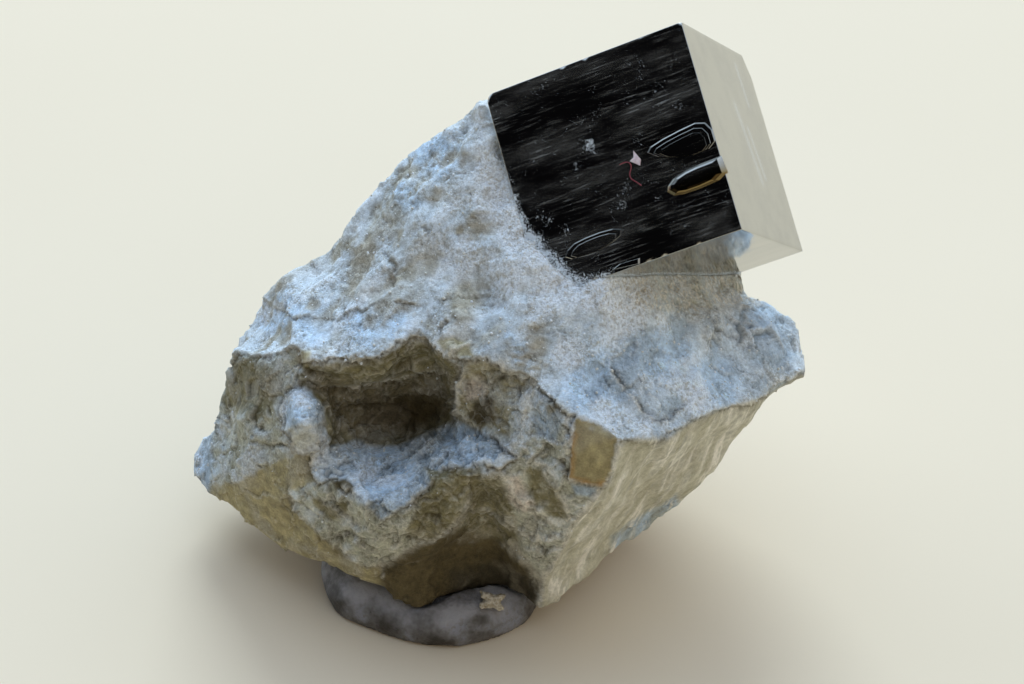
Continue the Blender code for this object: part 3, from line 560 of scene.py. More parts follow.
def inside_outline(places, outline):
    """Signed distance from each place to an outline on the sheet, positive inside, in millimetres."""
    nearest, _ = from_line(places, list(outline) + [outline[0]])
    crossings = np.zeros(len(places), bool)
    corners = np.array(outline, float)
    for a, b in zip(corners, np.roll(corners, -1, axis=0)):
        if a[1] == b[1]:
            continue
        spans = (a[1] > places[:, 1]) != (b[1] > places[:, 1])
        crossings ^= spans & (places[:, 0] < a[0] + (b[0] - a[0]) * (places[:, 1] - a[1]) / (b[1] - a[1]))
    return np.where(crossings, nearest, -nearest)


def blended(colours, other, share):
    """Colours, one per point, with a share of another laid over each."""
    return colours + (np.array(other) - colours) * share[:, None]


def moved_by(matrix, points):
    return (np.array(matrix)[:3] @ np.c_[points, np.ones(len(points))].T).T


def on_sheet(points):
    """Where points of the frame are seen on the sheet, in millimetres."""
    across, up, toward = moved_by(VIEW.inverted(), points).T
    nearer = 1.0 - toward / SIGHT_DISTANCE
    return np.c_[SHEET_MIDDLE[0] + across / nearer / MM, SHEET_MIDDLE[1] - up / nearer / MM]


def off_sheet(x, y, toward):
    """The point of the frame that is seen at a place on the sheet and stands so far out of it."""
    nearer = 1 - toward * MM / SIGHT_DISTANCE
    return VIEW @ (Vector(((x - SHEET_MIDDLE[0]) * nearer, (SHEET_MIDDLE[1] - y) * nearer, toward)) * MM)


# Meshes

def piece(name, mesh, material):
    made = bpy.data.objects.new(name, mesh)
    bpy.context.scene.collection.objects.link(made)
    mesh.materials.clear()
    mesh.materials.append(material)
    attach(made, "root")
    return made


def loose_object(name, data):
    made = bpy.data.objects.new(name, data)
    bpy.context.scene.collection.objects.link(made)
    return made


def evaluated(obj):
    """The object's mesh with its modifiers applied. The object itself is dropped."""
    bpy.context.view_layer.update()
    made = bpy.data.meshes.new_from_object(obj.evaluated_get(bpy.context.evaluated_depsgraph_get()))
    bpy.data.objects.remove(obj)
    return made


def mesh_from(bm, name):
    mesh = bpy.data.meshes.new(name)
    bm.to_mesh(mesh)
    bm.free()
    return mesh


def fine_copy(node, voxel, relax):
    """A finely and evenly meshed copy of a node's solid, with its facets relaxed."""
    bm = bmesh.new()
    bm.from_mesh(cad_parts[node].data)
    bmesh.ops.remove_doubles(bm, verts=bm.verts, dist=0.001 * MM)
    made = loose_object(node + "_fine", mesh_from(bm, node + "_fine"))
    remesh = made.modifiers.new("remesh", "REMESH")
    remesh.mode = "VOXEL"
    remesh.voxel_size = voxel
    smooth = made.modifiers.new("relax", "SMOOTH")
    smooth.factor = 0.5
    smooth.iterations = relax
    return evaluated(made)


def thinned_behind(mesh, triangles):
    """Thins a mesh to so many triangles, mostly on the side that faces away from the eye."""
    made = loose_object("to_thin", mesh)
    points, normals = vertex_arrays(mesh)
    behind = smooth_step(0.1, -0.3, normals @ TOWARDS_EYE)
    group = made.vertex_groups.new(name="behind")
    for weight in range(1, 11):
        chosen = np.flatnonzero(np.round(behind * 10) == weight)
        group.add(chosen.tolist(), weight / 10, "REPLACE")
    thin = made.modifiers.new("thin", "DECIMATE")
    thin.ratio = triangles / (2 * len(mesh.polygons))
    thin.use_collapse_triangulate = True
    thin.vertex_group = group.name
    thin.vertex_group_factor = FRONT_KEPT
    return evaluated(made)


def vertex_arrays(mesh):
    count = len(mesh.vertices)
    points = np.empty(count * 3)
    normals = np.empty(count * 3)
    mesh.vertices.foreach_get("co", points)
    mesh.vertices.foreach_get("normal", normals)
    return points.reshape(-1, 3), normals.reshape(-1, 3)


def hollowness(mesh, points, normals):
    """How far each vertex lies below the mean of its neighbours, in millimetres."""
    ends = np.empty(len(mesh.edges) * 2, int)
    mesh.edges.foreach_get("vertices", ends)
    a, b = ends.reshape(-1, 2).T
    total = np.zeros_like(points)
    for axis in range(3):
        total[:, axis] = np.bincount(a, points[b, axis], len(points))
        total[:, axis] += np.bincount(b, points[a, axis], len(points))
    count = np.bincount(a, minlength=len(points)) + np.bincount(b, minlength=len(points))
    mean = total / np.maximum(count, 1)[:, None]
    return ((mean - points) * normals).sum(1) / MM


def place_vertices(mesh, points):
    low, high = (np.array(corner) for corner in CAD_BOX)
    mesh.vertices.foreach_set("co", np.clip(points, low, high).ravel())
    mesh.update()


def add_mask(mesh, name, values):
    layer = mesh.attributes.new(name, "FLOAT", "POINT")
    layer.data.foreach_set("value", np.asarray(values, np.float32))


def add_places(mesh, name, places):
    layer = mesh.attributes.new(name, "FLOAT_VECTOR", "POINT")
    layer.data.foreach_set("vector", np.asarray(places, np.float32).ravel())


def add_tint(mesh, name, colours):
    layer = mesh.attributes.new(name, "FLOAT_COLOR", "POINT")
    layer.data.foreach_set("color", np.c_[colours, np.ones(len(colours))].astype(np.float32).ravel())


def shade_smooth(mesh):
    mesh.polygons.foreach_set("use_smooth", np.ones(len(mesh.polygons), bool))
    mesh.update()


def scattered(name, grains, material):
    """One piece out of many small grains, each given as its middle, its three half sizes and its turn."""
    bm = bmesh.new()
    for middle, size, turn in grains:
        place = Matrix.Translation(middle) @ turn.to_matrix().to_4x4() @ Matrix.Diagonal((*size, 1.0))
        bmesh.ops.create_icosphere(bm, subdivisions=1, radius=1.0, matrix=place)
    return piece(name, mesh_from(bm, name), material)


# Materials

class Nodes:
    """A short way to write a material's node tree."""

    def __init__(self, name):
        self.material = bpy.data.materials.new(name)
        self.material.use_nodes = True
        self.tree = self.material.node_tree
        self.shader = self.tree.nodes["Principled BSDF"]

    def new(self, kind, **settings):
        node = self.tree.nodes.new(kind)
        for key, value in settings.items():
            setattr(node, key, value)
        return node

    def put(self, socket, value):
        if isinstance(value, bpy.types.NodeSocket):
            self.tree.links.new(value, socket)
        elif isinstance(value, tuple):
            socket.default_value = (*value, 1.0)
        else:
            socket.default_value = value

    def attribute(self, name, output="Fac"):
        node = self.new("ShaderNodeAttribute", attribute_type="GEOMETRY", attribute_name=name)
        return node.outputs[output]

    def position(self):
        return self.new("ShaderNodeTexCoord").outputs["Object"]

    def stretched(self, stretch, vector=None):
        mapping = self.new("ShaderNodeMapping", vector_type="TEXTURE")
        self.put(mapping.inputs["Vector"], vector or self.position())
        mapping.inputs["Scale"].default_value = stretch
        return mapping.outputs["Vector"]

    def noise(self, size, detail=2.0, rough=0.5, vector=None):
        """Noise with lumps of the given size in metres."""
        node = self.new("ShaderNodeTexNoise")
        self.put(node.inputs["Vector"], vector or self.position())
        node.inputs["Scale"].default_value = 1.0 / size
        node.inputs["Detail"].default_value = detail
        node.inputs["Roughness"].default_value = rough
        return node.outputs["Fac"]

    def net(self, size, waver, vector=None):
        """Distance to the nearest line of a wavering net, 0 on a line, with meshes of the given size."""
        place = vector or self.position()
        shift = self.new("ShaderNodeTexNoise")
        self.put(shift.inputs["Vector"], place)
        shift.inputs["Scale"].default_value = 1.3 / size
        shift.inputs["Detail"].default_value = 3.0
        waved = self.new("ShaderNodeVectorMath", operation="MULTIPLY_ADD")
        self.put(waved.inputs[0], shift.outputs["Color"])
        waved.inputs[1].default_value = (waver * size,) * 3
        self.put(waved.inputs[2], place)
        node = self.new("ShaderNodeTexVoronoi", feature="DISTANCE_TO_EDGE")
        self.put(node.inputs["Vector"], waved.outputs[0])
        node.inputs["Scale"].default_value = 1.0 / size
        return node.outputs["Distance"]

    def math(self, operation, a, b=0.0, c=0.0):
        node = self.new("ShaderNodeMath", operation=operation)
        for socket, value in zip(node.inputs, (a, b, c)):
            self.put(socket, value)
        return node.outputs[0]

    def ramp(self, value, low, high, out_low=0.0, out_high=1.0):
        node = self.new("ShaderNodeMapRange", interpolation_type="SMOOTHSTEP")
        self.put(node.inputs["Value"], value)
        limits = {"From Min": low, "From Max": high, "To Min": out_low, "To Max": out_high}
        for name, number in limits.items():
            node.inputs[name].default_value = number
        return node.outputs["Result"]

    def mix(self, factor, a, b, blend="MIX"):
        node = self.new("ShaderNodeMix", data_type="RGBA", blend_type=blend)
        self.put(node.inputs[0], factor)
        self.put(node.inputs[6], a)
        self.put(node.inputs[7], b)
        return node.outputs[2]

    def toned(self, colour, tone):
        """The colour, made darker or lighter by a number."""
        node = self.new("ShaderNodeVectorMath", operation="SCALE")
        self.put(node.inputs[0], colour)
        self.put(node.inputs["Scale"], tone)
        return node.outputs[0]

    def bump(self, height, distance, strength=1.0):
        node = self.new("ShaderNodeBump")
        node.inputs["Strength"].default_value = strength
        node.inputs["Distance"].default_value = distance
        self.put(node.inputs["Height"], height)
        return node.outputs["Normal"]


def marl_material():
    """Marl: its colour comes with the surface, and this adds veins, streaks, grain and fine relief."""
    n = Nodes("marl")
    patch = n.noise(1.3 * MM, 4, 0.65)
    grain = n.noise(0.3 * MM, 4, 0.75)
    specks = n.noise(0.16 * MM, 2, 0.6)
    colour = n.attribute("tint", "Color")
    lines = n.ramp(n.net(1.1 * MM, 0.9), 0.13, 0.0)
    fine_lines = n.ramp(n.net(0.42 * MM, 0.9), 0.09, 0.0)
    lines = n.math("MAXIMUM", lines, n.math("MULTIPLY", fine_lines, 0.25))
    lines = n.math("MULTIPLY", lines, n.math("MULTIPLY", n.attribute("net"), n.ramp(patch, 0.35, 0.6)))
    colour = n.mix(n.math("MULTIPLY", lines, 0.5), colour, PALE)
    flow = n.attribute("flow", "Vector")
    wide = n.ramp(n.noise(1.5 * MM, 3, 0.55, vector=n.stretched((9, 1, 1), flow)), 0.38, 0.62)
    streaks = n.noise(0.7 * MM, 3, 0.55, vector=n.stretched((22, 1, 1), flow))
    streaks = n.math("MULTIPLY", n.ramp(streaks, 0.5, 0.64), wide)
    streaks = n.math("MULTIPLY", streaks, n.attribute("streaks"))
    shaded = n.math("MULTIPLY", n.math("SUBTRACT", 1.0, wide), n.attribute("streaks"))
    colour = n.mix(n.math("MULTIPLY", shaded, 0.45), colour, SHADED_TAN)
    colour = n.mix(n.math("MULTIPLY", streaks, 0.95), colour, PALE)
    fibres = n.noise(0.3 * MM, 4, 0.7, vector=n.stretched((1, 1, 6)))
    fibres = n.math("MULTIPLY", n.ramp(fibres, 0.45, 0.62), n.attribute("fibres"))
    colour = n.mix(n.math("MULTIPLY", fibres, 0.8), colour, PALE)
    crust = n.noise(0.42 * MM, 5, 0.72)
    dusty = n.attribute("dusty")
    gaps = n.math("MULTIPLY", n.ramp(crust, 0.52, 0.40), dusty)
    crumbs = n.math("MULTIPLY", n.ramp(crust, 0.52, 0.64), dusty)
    colour = n.mix(n.math("MULTIPLY", gaps, 0.75), colour, GAP_SHADE, blend="MULTIPLY")
    colour = n.mix(n.math("MULTIPLY", crumbs, 0.6), colour, SNOW)
    rough = n.math("MULTIPLY_ADD", n.attribute("calm"), -0.85, 1.0)
    deviation = n.math("ADD", n.ramp(grain, 0.3, 0.7, -0.26, 0.2), n.ramp(specks, 0.3, 0.7, -0.14, 0.12))
    tone = n.math("MULTIPLY_ADD", deviation, n.math("MULTIPLY_ADD", rough, 0.6, 0.4), 1.0)
    n.put(n.shader.inputs["Base Color"], n.toned(colour, tone))
    n.put(n.shader.inputs["Roughness"], n.ramp(patch, 0.2, 0.8, 0.8, 0.97))
    n.shader.inputs["Specular IOR Level"].default_value = 0.25
    relief = n.math("MULTIPLY_ADD", specks, 0.35, n.math("MULTIPLY", grain, 1.0))
    relief = n.math("ADD", relief, n.math("MULTIPLY", lines, 0.25))
    relief = n.math("ADD", relief, n.math("MULTIPLY", n.math("ADD", streaks, fibres), 0.3))
    relief = n.math("MULTIPLY", n.math("MULTIPLY_ADD", crust, 0.8, relief), rough)
    n.put(n.shader.inputs["Normal"], n.bump(relief, 0.24 * MM, 1.0))
    return n.material


def pyrite_material():
    """A pale brassy mirror with fine striation, smears and specks of dust, and painted reflections:
    golden-brown on the lower rims of the growths and faint streaks on the right face.
    """
    n = Nodes("pyrite")
    place = n.attribute("crystal", "Vector")
    smear = n.noise(2.6 * MM, 4, 0.6, vector=n.stretched((3, 1, 1), place))
    lines = n.noise(0.14 * MM, 2, 0.5, vector=n.stretched((26, 1, 1), place))
    wisps = n.noise(0.2 * MM, 3, 0.6, vector=n.stretched((14, 1, 1), place))
    metal = n.mix(n.ramp(smear, 0.35, 0.7), *PYRITE_TONES)
    # Golden-brown painted reflection of the warm floor on the lower rims of the growths.
    rim_reflection = n.mix(n.ramp(smear, 0.35, 0.7), *RIM_REFLECTION_TONES)
    metal = n.mix(n.attribute("rim_reflection"), metal, rim_reflection)
    flecks = n.noise(0.15 * MM, 6, 0.85, vector=place)
    clumps = n.noise(1.2 * MM, 4, 0.65, vector=place)
    wanted = n.math("MULTIPLY", n.ramp(clumps, 0.46, 0.72), n.attribute("striated"))
    wanted = n.math("MULTIPLY_ADD", wanted, 0.12, n.math("MULTIPLY", n.attribute("dust"), 0.36))
    dusty = n.ramp(n.math("ADD", flecks, wanted), 0.705, 0.765)
    haze = n.noise(2.2 * MM, 3, 0.5, vector=n.stretched((4, 1, 1), place))
    film_and_reflection = n.math("MULTIPLY_ADD", n.ramp(wisps, 0.5, 0.76), 0.75, n.ramp(haze, 0.4, 0.7, 0.0, 0.26))
    film_and_reflection = n.math("MULTIPLY", n.math("MULTIPLY", film_and_reflection, n.attribute("striated")), n.ramp(smear, 0.34, 0.7))
    # Faint streaks on the right face, laid on in the dust colour: painted reflection.
    streak_reflection = n.math("MULTIPLY", n.attribute("streak_reflection"), 0.22)
    film_and_reflection = n.math("MAXIMUM", n.math("MULTIPLY", film_and_reflection, 0.6), streak_reflection)
    cover = n.math("MAXIMUM", dusty, film_and_reflection)
    n.put(n.shader.inputs["Base Color"], n.mix(cover, metal, CRYSTAL_DUST_AND_REFLECTION))
    n.put(n.shader.inputs["Metallic"], n.math("SUBTRACT", 1.0, cover))
    polish = n.ramp(smear, 0.3, 0.75, 0.04, 0.13)
    n.put(n.shader.inputs["Roughness"], n.math("MULTIPLY_ADD", dusty, 0.7, polish))
    relief = n.math("MULTIPLY_ADD", n.ramp(wisps, 0.6, 0.66), 0.5, lines)
    relief = n.math("MULTIPLY", relief, n.attribute("striated"))
    n.put(n.shader.inputs["Normal"], n.bump(relief, 0.008 * MM, 0.5))
    return n.material


def putty_material():
    """Grey-lilac display putty, a little greasy, handled and dusty, with painted highlight on the sides that
    face up and to the left.
    """
    n = Nodes("putty")
    blotch = n.noise(4.6 * MM, 4, 0.62)
    fine = n.noise(0.55 * MM, 4, 0.7)
    colour = n.mix(n.ramp(blotch, 0.38, 0.62), *PUTTY_TONES)
    colour = n.mix(n.ramp(fine, 0.54, 0.7), colour, PUTTY_SPECK)
    smear = n.math("MULTIPLY", n.ramp(blotch, 0.5, 0.66), n.ramp(fine, 0.36, 0.5))
    colour = n.mix(n.math("MULTIPLY", smear, 0.6), colour, PUTTY_SMEAR)
    # Lighter on the sides that face up and to the left: painted highlight.
    top_light = n.math("MULTIPLY", n.attribute("top_light"), n.ramp(blotch, 0.34, 0.6, 0.2, 0.9))
    colour = n.mix(top_light, colour, PUTTY_TOP_LIGHT)
    n.put(n.shader.inputs["Base Color"], colour)
    n.put(n.shader.inputs["Roughness"], n.ramp(fine, 0.3, 0.7, 0.45, 0.75))
    n.put(n.shader.inputs["Normal"], n.bump(n.math("MULTIPLY_ADD", blotch, 0.8, fine), 0.3 * MM, 0.7))
    return n.material


def grained_material(name, tones, size, roughness):
    """The finish of a small thing: two tones of one colour, broken by grain."""
    n = Nodes(name)
    grain = n.noise(size, 4, 0.7)
    n.put(n.shader.inputs["Base Color"], n.mix(n.ramp(grain, 0.35, 0.65), *tones))
    n.put(n.shader.inputs["Roughness"], n.ramp(grain, 0.3, 0.7, roughness - 0.08, roughness))
    n.put(n.shader.inputs["Normal"], n.bump(grain, size * 0.4, 0.7))
    return n.material


def table_material():
    n = Nodes("table")
    cloud = n.noise(60 * MM, 3, 0.5)
    grain = n.noise(0.6 * MM, 3, 0.6)
    n.put(n.shader.inputs["Base Color"], n.mix(n.ramp(cloud, 0.3, 0.7), *TABLE_TONES))
    n.shader.inputs["Roughness"].default_value = 0.9
    n.put(n.shader.inputs["Normal"], n.bump(grain, 0.05 * MM, 0.15))
    return n.material


# The stone

def beside_cube(points):
    """How far points are from the crystal's faces, in millimetres, negative inside."""
    local = moved_by(CUBE.inverted(), points)
    return (np.abs(local).max(axis=1) - CUBE_HALF) / MM


def paint_regions(points, places, front):
    """What the stone is like at each point: fresh colour, or painted shade in the recesses, and dust, lumps,
    flakes and net from 0 to 1.
    """
    count = len(points)
    wobble = 0.5 * noise_at(points, 1.4 * MM, 3) + 0.35 * noise_at(points, 0.6 * MM, 4)
    blotch = noise_at(points, 6 * MM, 5)[:, None]
    back = np.where(blotch > 0, 1.0, 0.0) * smooth_step(0.0, 0.3, np.abs(blotch))
    back *= 1 - 0.75 * front[:, None]
    fresh_and_shade = np.array(GREY_BROWN) * (1 - back) + np.array(OLIVE_GREY) * back
    traits = np.tile(np.array((1.0, 1.0, 0.2, 0.1)), (count, 1))
    bare_back = smooth_step(-0.05, 0.3, noise_at(points, 9 * MM, 6))[:, None]
    behind = np.array((0.75, 0.8, 0.5, 0.25)) * (1 - bare_back) + np.array((0.2, 0.35, 0.9, 0.5)) * bare_back
    traits = traits * front[:, None] + behind * (1 - front[:, None])
    for outline, colour, dust, lumps, flakes, net, soft in REGIONS.values():
        cover = front * smooth_step(-soft, soft, inside_outline(places, outline) + soft * wobble)
        cover = cover[:, None]
        fresh_and_shade = fresh_and_shade * (1 - cover) + np.array(colour) * cover
        traits = traits * (1 - cover) + np.array((dust, lumps, flakes, net)) * cover
    return fresh_and_shade, traits, wobble


def ragged(places):
    """Places on the sheet, shifted a little this way and that, and how strongly a broken edge shows."""
    flat = np.c_[places, np.zeros(len(places))]
    shift = np.c_[noise_at(flat, 1.1, 61), noise_at(flat, 1.1, 62)] * 0.42
    shift += np.c_[noise_at(flat, 0.42, 63), noise_at(flat, 0.42, 64)] * 0.2
    return places + shift, 0.75 + 0.7 * noise_at(flat, 2.4, 65)


def ledge_relief(places, front):
    """The relief of ledges, veins and cracks in millimetres, then painted highlight on crests, painted shade
    at shaded feet and in cracks, and veins, 0 to 1.
    """
    places, strength = ragged(places)
    height = np.zeros(len(places))
    crest_highlight = np.zeros(len(places))
    shade = np.zeros(len(places))
    vein = np.zeros(len(places))
    for line, rise, reach in LEDGES:
        away, above = from_line(places, line)
        height += np.where(above, rise * np.exp(-away / reach), -0.8 * rise * np.exp(-away / (0.6 * reach)))
        # A pale crest along the top of each ledge: painted highlight.
        crest_highlight = np.maximum(crest_highlight, np.where(above, np.exp(-((away / 0.24) ** 2)), 0.0) * min(1.0, rise / 0.3))
        shade = np.maximum(shade, np.where(above, 0.0, np.exp(-away / 0.4)) * min(1.0, rise / 0.3))
    for line in VEINS:
        away, _ = from_line(places, line)
        height += 0.24 * np.exp(-((away / 0.3) ** 2))
        vein = np.maximum(vein, np.exp(-((away / 0.26) ** 2)))
    for line in CRACKS:
        away, _ = from_line(places, line)
        height -= 0.3 * np.exp(-((away / 0.2) ** 2))
        shade = np.maximum(shade, 0.7 * np.exp(-((away / 0.2) ** 2)))
    strength = np.clip(strength, 0.15, 1.4) * front
    return height * strength, *(np.clip(mask * strength, 0, 1) for mask in (crest_highlight, shade, vein))


def facing_eye(normals, margin):
    """1 on the stone's front, where the drawing on the sheet holds, falling to 0 behind."""
    return smooth_step(-0.25, 0.05, normals @ TOWARDS_EYE + margin)


def collar_mask(places, front):
    return front * smooth_step(-0.6, 0.6, inside_outline(places, REGIONS["collar"][0]))


def along_slope(points, stretch):
    """The points, drawn together along the fall of the dusty slope, so that noise runs long that way."""
    run = np.array(VIEW.to_3x3() @ Vector(SLOPE_RUN))
    return points - (1 - 1 / stretch) * np.outer(points @ run, run)


def crumbly_places(points):
    """Where the marl crumbles, 1, and where it is smooth, 0."""
    return smooth_step(-0.25, 0.3, noise_at(points, 2.8 * MM, 27))


def broken_relief(points, lumps, flakes):
    """The relief of broken marl in millimetres: swells and crumbs where it is lumpy, tilted flakes."""
    shift = [noise_at(points, 1.5 * MM, seed) for seed in (8, 9, 10)]
    bent = points + 0.55 * MM * np.array(shift).T
    _, lead, facet = cells_at(bent, 2.8 * MM, 11)
    _, fine_lead, fine_facet = cells_at(bent, 1.2 * MM, 12)
    drawn_out = along_slope(bent, 1.7)
    swells = 0.8 * noise_at(drawn_out, 3.8 * MM, 13) + 0.22 * noise_at(drawn_out, 1.7 * MM, 19)
    billows = 0.4 * (0.2 - np.abs(noise_at(drawn_out, 2.6 * MM, 14)))
    crumbs = 0.11 * noise_at(bent, 0.9 * MM, 15) + 0.12 * noise_at(points, 0.42 * MM, 16)
    crumbs *= 0.45 + 0.85 * crumbly_places(points)
    height = lumps * (swells + billows) + (0.12 + 0.88 * np.maximum(lumps, 0.5 * flakes)) * crumbs
    creases = 0.08 * smooth_step(0.1, 0.0, lead) + 0.03 * smooth_step(0.12, 0.0, fine_lead)
    return height + flakes * (1.7 * facet + 0.7 * fine_facet - creases)


def raise_relief(mesh):
    """Breaks the smooth stone up and closes it round the crystal."""
    points, normals = vertex_arrays(mesh)
    places = on_sheet(points)
    front = facing_eye(normals, 0.0)
    _, traits, _ = paint_regions(points, places, front)
    _, lumps, flakes, _ = traits.T
    height = broken_relief(points, lumps, flakes)
    for spot, reach, strength in SPOTS:
        away = away_from(places, spot)
        sink = smooth_step(reach, 0.1 * reach, away + 0.3 * noise_at(points, 1.0 * MM, 7))
        height -= 0.14 * strength * front * sink
    ledges, *_ = ledge_relief(places, front)
    fibres = collar_mask(places, front)
    strands = noise_at(points * np.array((1.0, 1.0, 0.16)), 0.55 * MM, 17)
    height = height * (1 - 0.6 * fibres) + 0.3 * fibres * strands
    touching = smooth_step(1.0, 0.4, beside_cube(points))
    height = np.clip((height + ledges) * (1 - touching), *RELIEF_RANGE)
    moved = points + normals * (height * MM)[:, None]
    place_vertices(mesh, toward_cube(moved))
    add_mask(mesh, "raised", height)


def toward_cube(points):
    """Moves the points that stand just off the crystal on to its faces."""
    local = moved_by(CUBE.inverted(), points)
    side = np.abs(local).argmax(axis=1)
    rows = np.arange(len(local))
    away = np.abs(local[rows, side]) - CUBE_HALF
    shift = np.clip(away + 0.02 * MM, 0.0, CONTACT_GAP) * smooth_step(0.9 * MM, 0.45 * MM, away)
    local[rows, side] -= np.sign(local[rows, side]) * shift
    return moved_by(CUBE, local)


def underside_flow(points):
    """Places along and across the streaks of the right underside."""
    foot = np.array(off_sheet(*KEEL_FOOT))
    along = np.array(off_sheet(*KEEL_TOP)) - foot
    along /= np.linalg.norm(along)
    across = np.cross(along, TOWARDS_EYE)
    across /= np.linalg.norm(across)
    depth = np.cross(along, across)
    local = (points - foot) @ np.array((along, across, depth)).T
    bend = 0.35 * np.maximum(local[:, 1], 0.0) + 0.0009 * noise_at(points, 5 * MM, 18)
    local[:, 1] += bend * local[:, 0] / (14 * MM)
    return local


def colour_stone(mesh):
    """Lays dust where it would settle and leaves the colours of the regions where it wouldn't. It also
    paints shade into hollows and under ledges, highlights on crests and high points, and the blue of the sky
    light into the dust.
    """
    points, normals = vertex_arrays(mesh)
    places = on_sheet(points)
    front = facing_eye(normals, 0.25)
    fresh_and_shade, traits, wobble = paint_regions(points, places, front)
    dust, _, flakes, net = traits.T
    _, crest_highlight, shade, vein = ledge_relief(places, front)
    raised = np.empty(len(points))
    mesh.attributes["raised"].data.foreach_get("value", raised)
    crumble = crumbly_places(points)
    hollow = hollowness(mesh, points, normals)
    drawn_out = along_slope(points, 2.2)
    patches = noise_at(drawn_out, 3.2 * MM, 21) + 0.45 * noise_at(drawn_out, 1.2 * MM, 22)
    crumbly = noise_at(points, 0.55 * MM, 23)
    mottle = noise_at(points, 1.0 * MM, 24)
    up = normals[:, 2]
    # Low relief keeps less dust and shows darker: painted shade.
    low_relief = smooth_step(0.0, -0.4, raised)
    settled = smooth_step(-0.15, 0.45, 0.6 * up + 0.6 * patches + 0.15 * crumbly - 0.45 * low_relief)
    for spot, reach, strength in SPOTS:
        away = away_from(places, spot)
        away += 1.1 * wobble + reach * (0.45 * patches + 0.25 * mottle)
        settled = settled * (1 - strength * front * smooth_step(reach, 0.3 * reach, away))
    cover = np.clip(dust * (0.12 + 0.9 * settled), 0, 1)
    # The blue of the sky light, painted into the dust where it would fall bluest.
    skylit_blue = np.zeros(len(points))
    for centre, reach in SKYLIT_BLUE_SPOTS:
        away = away_from(places, centre)
        skylit_blue = np.maximum(skylit_blue, smooth_step(reach, reach * 0.4, away + wobble))
    skylit_blue = front * skylit_blue + (1 - front) * smooth_step(0.1, 0.4, noise_at(points, 7 * MM, 25)) * 0.8
    beige = smooth_step(-0.1, 0.5, noise_at(points, 4.2 * MM, 26) - 0.4 * skylit_blue)
    powder = blended(np.array(DUST_GREY), DUST_BEIGE, 0.6 * beige)
    powder = blended(powder, DUST_SKYLIT_BLUE, 0.3 + 0.7 * skylit_blue)
    # Dust turns whiter where the relief stands high: partly painted highlight.
    powder = blended(powder, SNOW, 0.5 * smooth_step(0.0, 0.6, patches + 0.7 * raised + 0.2 * crumbly))
    powder *= (0.97 + 0.16 * mottle + 0.1 * crumbly * crumble)[:, None]
    tint = fresh_and_shade * (1 + 0.38 * mottle + 0.25 * crumbly)[:, None]
    tint = blended(tint, GREY_BROWN, 0.35 * smooth_step(0.1, 0.5, patches))
    tint = blended(tint, powder, cover)
    golden = smooth_step(-0.1, 0.2, inside_outline(places, REGIONS["golden"][0]) + 0.12 * wobble) * front
    edge_away, _ = from_line(places, RUSTY_EDGE)
    rust = golden * smooth_step(0.75, 0.0, edge_away + 0.6 * wobble)
    tint = blended(tint, RUST, 0.7 * rust)
    light_enough = (1 - golden) * smooth_step(0.06, 0.25, tint.mean(axis=1))
    # Crests of ledges are lightened: painted highlight.
    crest_highlight = crest_highlight * light_enough * (0.4 + 0.6 * smooth_step(-0.3, 0.4, patches))
    tint = blended(tint, PALE, 0.65 * crest_highlight)
    tint = blended(tint, PALE, 0.7 * vein * (1 - golden))
    # Convex points are lightened: painted highlight.
    tint = blended(tint, PALE, 0.3 * smooth_step(0.015, 0.07, -hollow) * light_enough)
    # Ledge feet, cracks and concave points are darkened with brown: painted shade.
    recess_shade = np.clip(0.65 * shade + smooth_step(0.02, 0.1, hollow) * 0.4, 0, 0.8) * (1 - golden)
    tint = blended(tint, np.array(BROWN) * 0.75, recess_shade)
    line_away, _ = from_line(places, SNOW_LINE)
    fringe = line_away + wobble + 0.7 * patches + 0.5 * crumbly
    snow = smooth_step(3.9, 1.3, fringe)
    for spot, reach in POWDERY_SPOTS:
        away = away_from(places, spot)
        away += 1.1 * wobble - 0.35 * reach * patches + 0.4 * crumbly
        snow = np.maximum(snow, 0.75 * smooth_step(reach, 0.25 * reach, away))
    snow *= front * smooth_step(-0.6, 0.1, up)
    tint = blended(tint, SNOW, 0.92 * snow)
    add_tint(mesh, "tint", np.clip(tint, 0.01, 0.95))
    add_mask(mesh, "dusty", np.maximum(cover * (0.35 + 0.65 * crumble), snow) * (1 - golden))
    add_mask(mesh, "net", np.clip(net * (1 - 0.5 * cover), 0, 1))
    below = front * smooth_step(-0.2, 0.5, inside_outline(places, REGIONS["underside"][0]))
    calm = np.maximum(0.3 * (1 - flakes), 0.6 * (1 - crumble) * (1 - snow))
    add_mask(mesh, "calm", np.maximum(calm, 0.8 * np.maximum(golden, below)))
    add_mask(mesh, "streaks", below)
    add_mask(mesh, "fibres", collar_mask(places, front))
    add_places(mesh, "flow", underside_flow(points))


def build_stone(material):
    mesh = fine_copy("matrix", STONE_VOXEL, 3)
    raise_relief(mesh)
    mesh = thinned_behind(mesh, STONE_TRIANGLES)
    place_vertices(mesh, vertex_arrays(mesh)[0])
    colour_stone(mesh)
    shade_smooth(mesh)
    stone = piece("marl_surface", mesh, material)
    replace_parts(stone, "matrix")
    return stone


# Powder and grit that lie on the stone

def lying_grains(mesh, weights, count, sizes, seed):
    """Grains half sunk in a surface, where the weights of its vertices put them."""
    rng = np.random.default_rng(seed)
    points, normals = vertex_arrays(mesh)
    chosen = rng.choice(len(weights), count, p=weights / weights.sum())
    low, high = (np.array(corner) + sign * 0.36 * MM for corner, sign in zip(CAD_BOX, (1, -1)))
    grains = []
    for point, normal in zip(points[chosen], normals[chosen]):
        radius = sizes[0] + (sizes[1] - sizes[0]) * rng.random() ** 2.5
        turn = Euler(rng.uniform(0, math.tau, 3))
        size = Vector(radius * rng.uniform(0.6, 1.2, 3))
        grains.append((Vector(np.clip(point + normal * radius * 0.25, low, high)), size, turn))
    return grains


